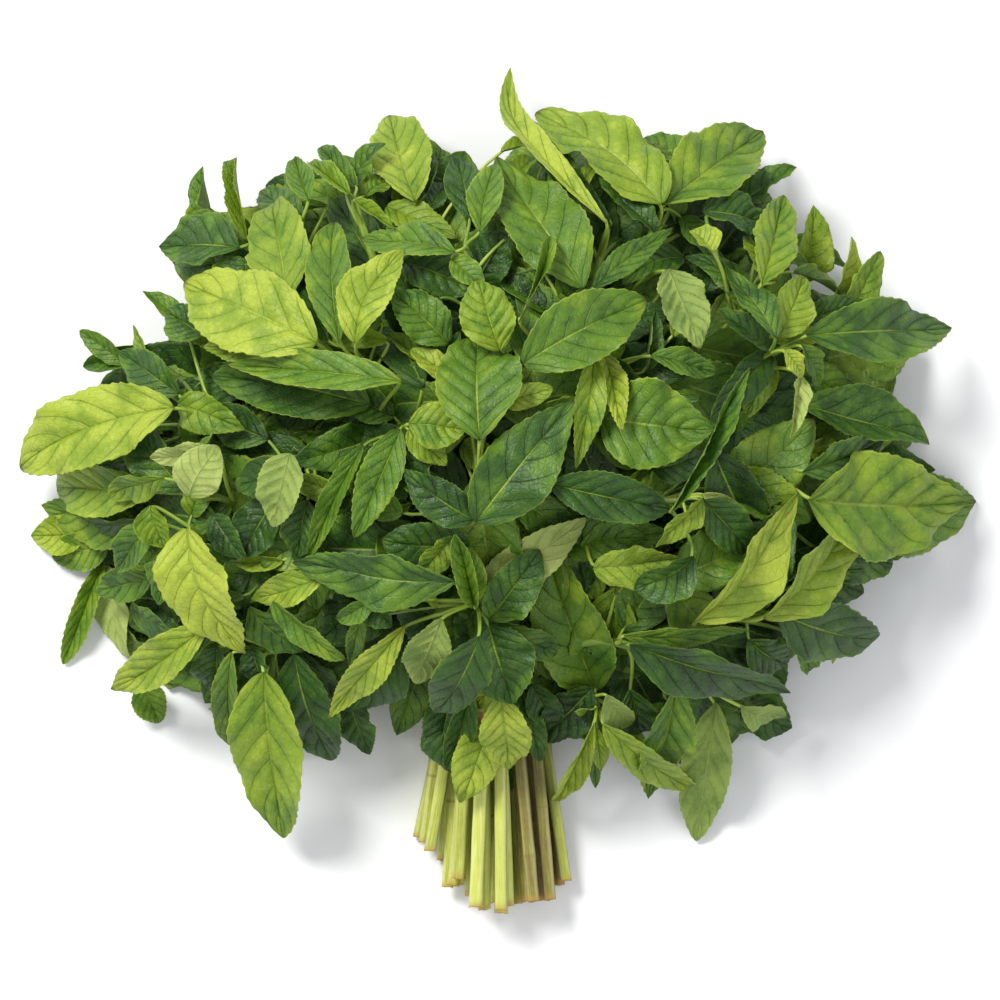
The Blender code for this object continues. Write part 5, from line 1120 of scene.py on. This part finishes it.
class Graph:
    def __init__(self, name):
        self.material = bpy.data.materials.new(name)
        self.material.use_nodes = True
        self.tree = self.material.node_tree
        self.tree.nodes.clear()

    def put(self, socket, value):
        if isinstance(value, bpy.types.NodeSocket):
            self.tree.links.new(value, socket)
        elif value is not None:
            socket.default_value = value

    def node(self, kind, **props):
        n = self.tree.nodes.new(kind)
        for key, value in props.items():
            setattr(n, key, value)
        return n

    def math(self, op, a, b=None, c=None, clamp=False):
        n = self.node("ShaderNodeMath", operation=op, use_clamp=clamp)
        for socket, value in zip(n.inputs, (a, b, c)):
            self.put(socket, value)
        return n.outputs[0]

    def step(self, x, low, high, a=0.0, b=1.0):
        n = self.node("ShaderNodeMapRange", interpolation_type="SMOOTHSTEP", clamp=True)
        for key, value in (("Value", x), ("From Min", low), ("From Max", high), ("To Min", a), ("To Max", b)):
            self.put(n.inputs[key], value)
        return n.outputs[0]

    def mix(self, factor, a, b, kind="MIX"):
        n = self.node("ShaderNodeMix", data_type="RGBA", blend_type=kind, clamp_factor=True)
        self.put(n.inputs[0], factor)
        self.put(n.inputs[6], a)
        self.put(n.inputs[7], b)
        return n.outputs[2]

    def ramp(self, x, stops):
        n = self.node("ShaderNodeValToRGB")
        n.color_ramp.interpolation = "EASE"
        while len(n.color_ramp.elements) < len(stops):
            n.color_ramp.elements.new(0.5)
        for e, (at, colour) in zip(n.color_ramp.elements, stops):
            e.position = at
            e.color = colour
        self.put(n.inputs[0], x)
        return n.outputs[0]

    def attribute(self, name, output="Fac"):
        return self.node("ShaderNodeAttribute", attribute_name=name).outputs[output]

    def scaled(self, vector, x, y, z):
        n = self.node("ShaderNodeVectorMath", operation="MULTIPLY")
        self.put(n.inputs[0], vector)
        n.inputs[1].default_value = (x, y, z)
        return n.outputs[0]

    def noise(self, vector, scale, detail=2.0, rough=0.5, warp=0.0):
        n = self.node("ShaderNodeTexNoise")
        self.put(n.inputs["Vector"], vector)
        n.inputs["Scale"].default_value = scale
        n.inputs["Detail"].default_value = detail
        n.inputs["Roughness"].default_value = rough
        n.inputs["Distortion"].default_value = warp
        return n.outputs[0]

    def cells(self, vector, scale):
        n = self.node("ShaderNodeTexVoronoi", feature="DISTANCE_TO_EDGE")
        self.put(n.inputs["Vector"], vector)
        n.inputs["Scale"].default_value = scale
        return n.outputs[0]

    def bump(self, height, distance, strength=1.0, normal=None):
        n = self.node("ShaderNodeBump")
        n.inputs["Strength"].default_value = strength
        n.inputs["Distance"].default_value = distance
        self.put(n.inputs["Height"], height)
        self.put(n.inputs["Normal"], normal)
        return n.outputs[0]

    def finish(self, colour, roughness, normal, specular=0.5, through=None, share=0.0, sheen=0.0, coat=0.0):
        p = self.node("ShaderNodeBsdfPrincipled")
        self.put(p.inputs["Base Color"], colour)
        self.put(p.inputs["Roughness"], roughness)
        self.put(p.inputs["Normal"], normal)
        p.inputs["Specular IOR Level"].default_value = specular
        if sheen:
            p.inputs["Sheen Weight"].default_value = sheen
            p.inputs["Sheen Roughness"].default_value = 0.4
        if coat:
            p.inputs["Coat Weight"].default_value = coat
            p.inputs["Coat Roughness"].default_value = 0.25
        out = self.node("ShaderNodeOutputMaterial")
        if through is None:
            self.tree.links.new(p.outputs[0], out.inputs[0])
        else:
            t = self.node("ShaderNodeBsdfTranslucent")
            self.put(t.inputs["Color"], through)
            self.put(t.inputs["Normal"], normal)
            m = self.node("ShaderNodeMixShader")
            m.inputs[0].default_value = share
            self.tree.links.new(p.outputs[0], m.inputs[1])
            self.tree.links.new(t.outputs[0], m.inputs[2])
            self.tree.links.new(m.outputs[0], out.inputs[0])
        return self.material


def leaf_material(name, under):
    g = Graph(name)
    uv = g.node("ShaderNodeUVMap", uv_map="leaf_uv").outputs[0]
    sep = g.node("ShaderNodeSeparateXYZ")
    g.put(sep.inputs[0], uv)
    u = sep.outputs[0]
    v = g.math("MULTIPLY_ADD", sep.outputs[1], 2.0, -1.0)
    av = g.math("ABSOLUTE", v)
    left = g.math("LESS_THAN", v, 0.0)
    flat = g.attribute("leaf_flat", "Vector")
    tone = g.attribute("leaf_tone")
    age = g.attribute("leaf_age")
    seed = g.attribute("leaf_seed")
    veins = g.attribute("leaf_veins")
    broad = g.noise(flat, 0.09, 2.0, 0.5)
    mottle = g.noise(flat, 0.42, 3.0, 0.6, 0.4)
    grain = g.noise(flat, 2.6, 2.0, 0.6)
    wobble = g.math("MULTIPLY_ADD", g.noise(flat, 0.22, 1.0), 0.05, -0.025)
    # side veins: the same lines that the mesh is quilted along
    bend = g.math("MULTIPLY", g.math("POWER", av, 1.25), 0.26)
    line = g.math("SUBTRACT", g.math("SUBTRACT", u, bend), g.math("MULTIPLY", left, 0.012))
    line = g.math("ADD", line, g.math("MULTIPLY", wobble, av))
    phase = g.math("MULTIPLY_ADD", g.math("MULTIPLY", veins, line), math.pi, 0.4)
    wave = g.math("ABSOLUTE", g.math("SINE", phase))
    width = g.math("MULTIPLY_ADD", av, -0.13, 0.19)
    side = g.math("SUBTRACT", 1.0, g.math("DIVIDE", wave, width), clamp=True)
    side = g.math("MULTIPLY", side, g.step(av, 0.80, 0.97, 1.0, 0.0))
    side = g.math("MULTIPLY", side, g.step(u, 0.9, 1.0, 1.0, 0.0))
    rib_w = g.math("MULTIPLY_ADD", u, -0.035, 0.062)
    rib = g.math("SUBTRACT", 1.0, g.math("DIVIDE", av, rib_w), clamp=True)
    soft = g.math("SUBTRACT", 1.0, g.math("DIVIDE", wave, 0.75), clamp=True)
    net = g.step(g.cells(flat, 0.52), 0.0, 0.16, 1.0, 0.0)
    mesh = g.step(g.cells(flat, 1.25), 0.0, 0.14, 1.0, 0.0)
    edge = g.step(av, 0.955, 0.995)
    # tone: each leaf's own green together with painted light and shade, brighter for lit leaves and darker for shaded
    # ones
    t = g.math("MULTIPLY_ADD", g.math("SUBTRACT", broad, 0.5), 0.85, tone)
    t = g.math("MULTIPLY_ADD", g.math("SUBTRACT", mottle, 0.5), 0.42, t)
    t = g.math("MULTIPLY_ADD", g.math("POWER", av, 3.0), 0.10, t)
    t = g.math("MULTIPLY_ADD", g.math("SUBTRACT", seed, 0.5), 0.10, t)
    # darker along the side veins: painted shade in the vein creases
    t = g.math("MULTIPLY_ADD", soft, -0.08, t)
    if under:
        base = g.ramp(t, ((0.0, rgb(84, 116, 52)), (0.35, rgb(120, 150, 70)), (0.7, rgb(162, 184, 92)), (1.0, rgb(196, 210, 120))))
        base = g.mix(g.math("MULTIPLY", side, 0.55), base, rgb(196, 212, 126))
        base = g.mix(g.math("MULTIPLY", rib, 0.8), base, rgb(206, 218, 130))
        base = g.mix(g.math("MULTIPLY", net, 0.22), base, rgb(176, 198, 108))
        base = g.mix(g.math("MULTIPLY", edge, 0.35), base, rgb(190, 205, 96))
    else:
        base = g.ramp(t, ((0.0, rgb(24, 56, 18)), (0.25, rgb(52, 94, 24)), (0.5, rgb(98, 138, 32)), (0.75, rgb(144, 171, 42)), (1.0, rgb(188, 203, 68))))
        # the upper side darker along its side veins: painted shade in the creases
        base = g.mix(g.math("MULTIPLY", side, 0.30), base, g.mix(1.0, base, rgb(150, 170, 120), "MULTIPLY"))
        rib_colour = g.mix(g.step(u, 0.35, 0.8), rgb(176, 198, 88), g.mix(1.0, base, rgb(180, 190, 120), "MULTIPLY"))
        base = g.mix(g.math("MULTIPLY", rib, 0.85), base, rib_colour)
        base = g.mix(g.math("MULTIPLY", net, 0.16), base, g.mix(1.0, base, rgb(150, 168, 120), "MULTIPLY"))
        base = g.mix(g.math("MULTIPLY", mesh, 0.10), base, rgb(150, 180, 80))
        base = g.mix(g.math("MULTIPLY", edge, 0.72), base, g.mix(g.step(tone, 0.0, 0.6), rgb(96, 138, 44), rgb(186, 204, 70)))
    # bruised specks and brown tips on the older leaves
    spots = g.step(g.noise(flat, 0.75, 2.0, 0.7), 0.70, 0.76)
    spots = g.math("MULTIPLY", spots, g.step(age, 0.45, 0.95))
    tipped = g.math("MULTIPLY", g.step(g.math("ADD", u, g.math("MULTIPLY", g.math("SUBTRACT", mottle, 0.5), 0.12)), 0.955, 0.99), g.step(age, 0.35, 0.75))
    rim = g.math("MULTIPLY", g.step(av, 0.975, 1.0), g.step(g.noise(flat, 0.9, 1.0), 0.56, 0.66))
    base = g.mix(g.math("MULTIPLY", g.math("MAXIMUM", spots, g.math("MULTIPLY", rim, 0.8)), 0.6), base, rgb(104, 86, 34))
    base = g.mix(g.math("MULTIPLY", tipped, 0.7), base, rgb(92, 70, 34))
    # relief, finer than the mesh
    if under:
        height = g.math("MULTIPLY_ADD", side, 0.9, g.math("MULTIPLY", rib, 1.0))
        height = g.math("MULTIPLY_ADD", net, 0.35, height)
        height = g.math("MULTIPLY_ADD", mesh, 0.12, height)
    else:
        height = g.math("MULTIPLY_ADD", side, -0.9, g.math("MULTIPLY", rib, -0.9))
        height = g.math("MULTIPLY_ADD", net, -0.38, height)
        height = g.math("MULTIPLY_ADD", mesh, -0.14, height)
    height = g.math("MULTIPLY_ADD", mottle, 0.9, height)
    height = g.math("MULTIPLY_ADD", grain, 0.16, height)
    normal = g.bump(height, 0.00022, 0.9)
    if under:
        rough = g.math("MULTIPLY_ADD", grain, 0.15, 0.55)
        through = g.mix(0.5, base, rgb(150, 190, 60))
        return g.finish(base, rough, normal, 0.35, through, 0.34, sheen=0.08)
    rough = g.math("MULTIPLY_ADD", grain, 0.22, g.math("MULTIPLY_ADD", tone, 0.12, 0.27))
    through = g.mix(0.45, base, rgb(140, 196, 40))
    return g.finish(base, rough, normal, 0.5, through, 0.3)


def stalk_material(name, kind):
    """kind 0 is a petiole or leafy axis, 1 a bare stalk with its browned cut end."""
    g = Graph(name)
    where = g.node("ShaderNodeTexCoord").outputs["Object"]
    tone = g.attribute("stalk_tone")
    along = g.attribute("stalk_along")
    streak = g.attribute("stalk_flat", "Vector")
    lines = g.noise(g.scaled(streak, 2.4, 0.10, 1.0), 1.0, 3.0, 0.6)
    fine = g.noise(g.scaled(streak, 7.0, 0.45, 1.0), 1.0, 2.0, 0.6)
    blot = g.noise(where, 160.0, 3.0, 0.6)
    t = g.math("MULTIPLY_ADD", g.math("SUBTRACT", lines, 0.5), 0.75, tone)
    t = g.math("MULTIPLY_ADD", g.math("SUBTRACT", blot, 0.5), 0.30, t)
    if kind:
        base = g.ramp(t, ((0.0, rgb(222, 222, 140)), (0.3, rgb(190, 198, 86)), (0.55, rgb(150, 158, 56)), (0.78, rgb(124, 112, 48)), (1.0, rgb(112, 72, 40))))
    else:
        base = g.ramp(t, ((0.0, rgb(196, 208, 96)), (0.35, rgb(160, 184, 66)), (0.65, rgb(112, 146, 50)), (1.0, rgb(112, 98, 52))))
    base = g.mix(g.math("MULTIPLY", g.step(fine, 0.55, 0.75), 0.25), base, rgb(226, 226, 150))
    specks = g.step(g.noise(where, 900.0, 2.0, 0.6), 0.72, 0.78)
    base = g.mix(g.math("MULTIPLY", specks, 0.45), base, rgb(110, 80, 36))
    rough = g.math("MULTIPLY_ADD", fine, 0.2, 0.34)
    height = g.math("MULTIPLY_ADD", lines, 1.0, g.math("MULTIPLY", fine, 0.5))
    if kind:
        edge = g.math("MULTIPLY_ADD", g.math("SUBTRACT", blot, 0.5), 3.0, along)
        # pale cream lines along the stalk's ridges: painted highlight
        base = g.mix(g.math("MULTIPLY", g.attribute("stalk_ridge"), 0.34), base, rgb(232, 230, 166))
        brown = g.step(edge, 0.2, 2.6, 1.0, 0.0)
        base = g.mix(g.math("MULTIPLY", brown, 0.6), base, rgb(176, 132, 56))
        base = g.mix(g.math("MULTIPLY", g.step(edge, -0.6, 0.5, 1.0, 0.0), 0.6), base, rgb(122, 84, 38))
        ring_at = g.attribute("stalk_ring")
        base = g.mix(g.math("MULTIPLY", ring_at, 0.7), base, rgb(112, 88, 36))
        face = g.attribute("stalk_face")
        pith = g.mix(g.step(g.noise(where, 1600.0, 2.0, 0.6), 0.35, 0.7), rgb(196, 180, 112), rgb(150, 120, 66))
        base = g.mix(g.step(face, 0.4, 0.8), base, pith)
    normal = g.bump(height, 0.00018, 0.7)
    return g.finish(base, rough, normal, 0.45, coat=0.12)


LEAF_UP = leaf_material("mint_leaf_upper", False)
LEAF_LOW = leaf_material("mint_leaf_under", True)
SPRIG = stalk_material("mint_green_stem", 0)
STALK = stalk_material("mint_cut_stalk", 1)


def rubber_material():
    g = Graph("band_rubber")
    where = g.node("ShaderNodeTexCoord").outputs["Object"]
    soft = g.noise(where, 240.0, 3.0, 0.6)
    dust = g.noise(where, 2200.0, 2.0, 0.7)
    base = g.ramp(soft, ((0.3, rgb(176, 128, 78)), (0.55, rgb(196, 150, 98)), (0.8, rgb(210, 170, 122))))
    base = g.mix(g.math("MULTIPLY", g.step(dust, 0.6, 0.8), 0.3), base, rgb(222, 200, 168))
    rough = g.math("MULTIPLY_ADD", dust, 0.2, 0.45)
    return g.finish(base, rough, g.bump(dust, 0.00005, 0.6), 0.4)


RUBBER = rubber_material()

# ---------------------------------------------------------------------------
# Pieces
# ---------------------------------------------------------------------------
total = 0
for k in sorted(shoots):
    heap = Heap()
    for leaf in leaves:
        if leaf["shoot"] == k:
            add_leaf(heap, leaf)
    foliage = heap.mesh("foliage_%02d" % k, [LEAF_UP, LEAF_LOW])
    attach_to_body(foliage, "root")
    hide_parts("shoot_%02d" % k)
    total += len(foliage.data.polygons)

    wood = Heap()
    pts, radii = shoots[k]["axis"]
    path, rad, s = smooth_path(pts, radii, 90)
    rad = rad * (0.80 + 0.10 * np.exp(-((s % 13.0) / 1.2) ** 2)) * (1 - 0.45 * np.clip((s - s[-1] + 3) / 3, 0, 1))
    verts = add_tube(wood, path, rad, 16, 0.055, 0.4, stalk_tone=0.42 + 0.35 * rnd("axis", k), stalk_along=50.0,
                     stalk_flat=np.zeros((90 * 16 + 2, 3)))
    ang = np.tile(np.arange(16) / 16 * rad.mean() * 6.28, 90)
    wood.values["stalk_flat"][-1][:-2] = np.stack([ang, np.repeat(s, 16), np.full(90 * 16, 10.0 * k)], -1)
    for leaf in leaves:
        if leaf["shoot"] != k:
            continue
        stem, thick = petiole(leaf)
        n = 18 if leaf["hero"] else 8
        sides = 9 if leaf["hero"] else 6
        path, rad, s = smooth_path(stem, np.full(len(stem), thick), n)
        rad = rad * (1.12 - 0.34 * s / s[-1])
        # petioles take their leaf's tone: painted light and shade, paler under lit leaves and darker under shaded ones
        verts = add_tube(wood, path, rad, sides, 0.04, 0.0, stalk_tone=0.62 - 0.42 * leaf["tone"] + 0.12 * rnd(leaf["key"], "pt"),
                         stalk_along=50.0, stalk_flat=np.zeros((n * sides + 2, 3)))
        ang = np.tile(np.arange(sides) / sides * 4.0, n)
        wood.values["stalk_flat"][-1][:-2] = np.stack([ang, np.repeat(s, sides), np.full(n * sides, 30.0 * rnd(leaf["key"], "pz"))], -1)
    sprig = wood.mesh("sprig_%02d" % k, [SPRIG])
    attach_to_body(sprig, "root")
    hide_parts("shoot_%02d" % k)
    total += len(sprig.data.polygons)

    # the bare stalk
    pts, radii = shoots[k]["bare"]
    path, rad, s = smooth_path(pts, radii, 110)
    slim = 0.74 + 0.19 * rnd("slim", k)
    rad = rad * slim * (1 - 0.02 * np.sin(s * 0.35 + k))
    ring_at = np.zeros(len(s))
    spot = 10.0 + 22.0 * rnd("ring", k) if rnd("ringed", k) < 0.35 else 1e3
    while spot < s[-1] - 4:
        bulge = np.exp(-((s - spot) / 0.45) ** 2)
        ring_at = np.maximum(ring_at, np.exp(-((s - spot - 0.1) / 0.28) ** 2))
        rad = rad * (1 + 0.06 * bulge + 0.04 * np.exp(-((s - spot) / 2.5) ** 2))
        spot += 44.0 + 12.0 * rnd("ring2", k, int(spot))
    sides = 28
    _tan, e1, e2 = frames(path)
    ang = 2 * math.pi * (np.arange(sides) + 0.5) / sides
    turn = 0.5 + 0.9 * rnd("turn", k)
    shape = 1 + 0.045 * np.cos(4 * (ang - turn)) - 0.02 * np.cos(8 * (ang - turn)) + 0.012 * np.cos(3 * ang + k)
    rings = path[:, None] + (rad[:, None] * shape[None])[:, :, None] * (
        np.cos(ang)[None, :, None] * e1[:, None] + np.sin(ang)[None, :, None] * e2[:, None])
    # the cut is a little oblique and ragged
    slope = 0.30 * (rnd("slope", k) - 0.5)
    slope2 = 0.24 * (rnd("slope2", k) - 0.3)
    near = np.exp(-s / 1.6)[:, None]
    off = (slope * np.cos(ang) + slope2 * np.sin(ang) + 0.05 * np.cos(5 * ang + 2 * k) + 0.03 * np.cos(9 * ang + k))[None] * rad[0]
    rings = rings + _tan[:, None] * (off * near)[:, :, None]
    rings = rings * 1.0
    flare = 1 + 0.035 * np.exp(-s / 0.8)
    rings = path[:, None] + (rings - path[:, None]) * flare[:, None, None]
    # cut face: rim, shallow hollow and pith
    caps = []
    for scale, deep in ((0.93, 0.03), (0.80, 0.10), (0.60, 0.06), (0.35, 0.16), (0.16, 0.26)):
        caps.append(path[0] + (rings[0] - path[0]) * scale + _tan[0] * deep)
    hub = path[0] + _tan[0] * 0.3
    tip = path[-1] + _tan[-1] * rad[-1] * 0.2
    verts = np.concatenate([rings.reshape(-1, 3), np.concatenate(caps), [hub, tip]])
    n = len(path)
    idx = np.arange(n * sides).reshape(n, sides)
    cap = n * sides + np.arange(5 * sides).reshape(5, sides)
    full = np.concatenate([cap[::-1], idx])
    nxt = np.roll(full, -1, axis=1)
    quads = np.stack([full[:-1], full[1:], nxt[1:], nxt[:-1]], -1).reshape(-1, 4)
    hub_i, tip_i = n * sides + 5 * sides, n * sides + 5 * sides + 1
    tris = np.concatenate([np.stack([np.full(sides, hub_i), full[0], nxt[0]], -1),
                           np.stack([np.full(sides, tip_i), nxt[-1], full[-1]], -1)])
    at = path[0][0] / UNIT + 500.0
    stalk_tone = float(np.interp(at, (405, 430, 455, 478, 512, 522, 540, 549, 557, 566, 575), (.52, .44, .46, .24, .24, .74, .88, .62, 1.05, .60, .50))) + 0.16 * (rnd("st", k) - 0.5)
    face = np.concatenate([np.zeros(n * sides), np.repeat([0.0, 1.0, 1.0, 1.0, 1.0], sides), [1.0, 0.0]])
    along = np.concatenate([np.repeat(s, sides), np.zeros(5 * sides), [0.0, s[-1]]])
    ring_all = np.concatenate([np.repeat(ring_at, sides), np.zeros(5 * sides + 2)])
    arc = np.tile(np.arange(sides) / sides * 12.0, n)
    flat = np.zeros((len(verts), 3))
    flat[:n * sides] = np.stack([arc, np.repeat(s, sides), np.full(n * sides, 10.0 * k)], -1)
    heap = Heap()
    # how strongly each ridge carries the painted highlight along the stalk
    ridge_highlight = np.zeros(len(verts))
    ridge_highlight[:n * sides] = np.tile((0.5 + 0.5 * np.cos(4 * (ang - turn))) ** 3, n)
    heap.add(verts, quads, tris, 0, 0, stalk_ridge=ridge_highlight, stalk_tone=stalk_tone, stalk_along=along, stalk_ring=ring_all, stalk_face=face, stalk_flat=flat)
    stalk = heap.mesh("stalk_%02d" % k, [STALK])
    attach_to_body(stalk, "root")
    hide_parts("stem_%02d" % k)
    total += len(stalk.data.polygons)
print("faces in all:", total)

# the band: a flat rubber loop pulled tight round the stalks
outer, _y = tie_outline(shoots, 1.15, 160)
inner, _y = tie_outline(shoots, 0.42, 160)
mid = 0.5 * (outer + inner)
section = []
for a in np.linspace(0, 2 * math.pi, 20, endpoint=False):
    c, s_ = math.cos(a), math.sin(a)
    section.append((math.copysign(abs(c) ** 0.25, c) * 0.36, math.copysign(abs(s_) ** 0.35, s_) * 2.3))
section = np.array(section)
out_dir = outer - inner
out_dir = out_dir / np.linalg.norm(out_dir, axis=1)[:, None]
n, m = len(mid), len(section)
th = 2 * math.pi * np.arange(n) / n
verts = np.zeros((n, m, 3))
verts[:, :, 0] = mid[:, None, 0] + out_dir[:, None, 0] * section[None, :, 0]
verts[:, :, 2] = mid[:, None, 1] + out_dir[:, None, 1] * section[None, :, 0]
verts[:, :, 1] = ring_y + section[None, :, 1] * (1 + 0.06 * np.sin(3 * th + 1))[:, None] + 0.12 * np.sin(2 * th)[:, None]
idx = np.arange(n * m).reshape(n, m)
a1 = np.roll(idx, -1, axis=0)
b1 = np.roll(idx, -1, axis=1)
c1 = np.roll(a1, -1, axis=1)
quads = np.stack([idx, b1, c1, a1], -1).reshape(-1, 4)
heap = Heap()
heap.add(verts.reshape(-1, 3), quads, np.zeros((0, 3), int), 0, 0)
loop = heap.mesh("rubber_band", [RUBBER])
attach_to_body(loop, "root")
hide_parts("band")

# ---------------------------------------------------------------------------
# Floor, light and camera
# ---------------------------------------------------------------------------
g = Graph("paper_floor")
where = g.node("ShaderNodeTexCoord").outputs["Object"]
shade = g.ramp(g.noise(where, 3.0, 2.0), ((0.3, (0.86, 0.865, 0.875, 1)), (0.7, (0.90, 0.903, 0.91, 1))))
g.finish(shade, 0.85, g.bump(g.noise(where, 2500.0, 2.0), 0.00003, 0.3), 0.2)
me = bpy.data.meshes.new("floor")
me.from_pydata([(-4, -4, -0.0003), (4, -4, -0.0003), (4, 4, -0.0003), (-4, 4, -0.0003)], [], [(0, 1, 2, 3)])
me.materials.append(g.material)
floor = bpy.data.objects.new("floor", me)
bpy.context.scene.collection.objects.link(floor)

world = bpy.data.worlds.new("studio")
bpy.context.scene.world = world
world.use_nodes = True
world.node_tree.nodes["Background"].inputs[0].default_value = (0.965, 0.98, 1.0, 1)
world.node_tree.nodes["Background"].inputs[1].default_value = WORLD_LIGHT


def area(name, place, target, size, power, colour):
    data = bpy.data.lights.new(name, "AREA")
    data.shape = "DISK"
    data.size = size
    data.energy = power
    data.color = colour
    obj = bpy.data.objects.new(name, data)
    bpy.context.scene.collection.objects.link(obj)
    obj.location = place
    d = np.array(target) - np.array(place)
    d = d / np.linalg.norm(d)
    obj.rotation_euler = (math.acos(-d[2]), 0, math.atan2(d[1], d[0]) - math.pi / 2)
    return obj


area("key", (-0.95, 1.05, 1.75), (0, 0, 0), 0.75, KEY_POWER, (1.0, 0.985, 0.955))
area("fill", (1.3, -0.9, 1.6), (0, 0, 0), 1.4, FILL_POWER, (0.95, 0.975, 1.0))

scene = bpy.context.scene
scene.view_settings.view_transform = "Standard"
scene.view_settings.look = "None"
scene.view_settings.exposure = 0.0
scene.view_settings.gamma = 1.0
cam = bpy.data.cameras.new("camera")
cam.sensor_width = 36.0
cam.lens = 36.0 * CAM_FAR / 270.0
cam.clip_start, cam.clip_end = 0.05, 50.0
eye = bpy.data.objects.new("camera", cam)
scene.collection.objects.link(eye)
tilt = math.radians(CAM_TILT)
aim = np.array([-SHIFT[0], -SHIFT[1], 38.0]) * 0.001
eye.location = aim + np.array([0, -math.sin(tilt), math.cos(tilt)]) * CAM_FAR * 0.001
eye.rotation_euler = (tilt, 0, 0)
scene.camera = eye
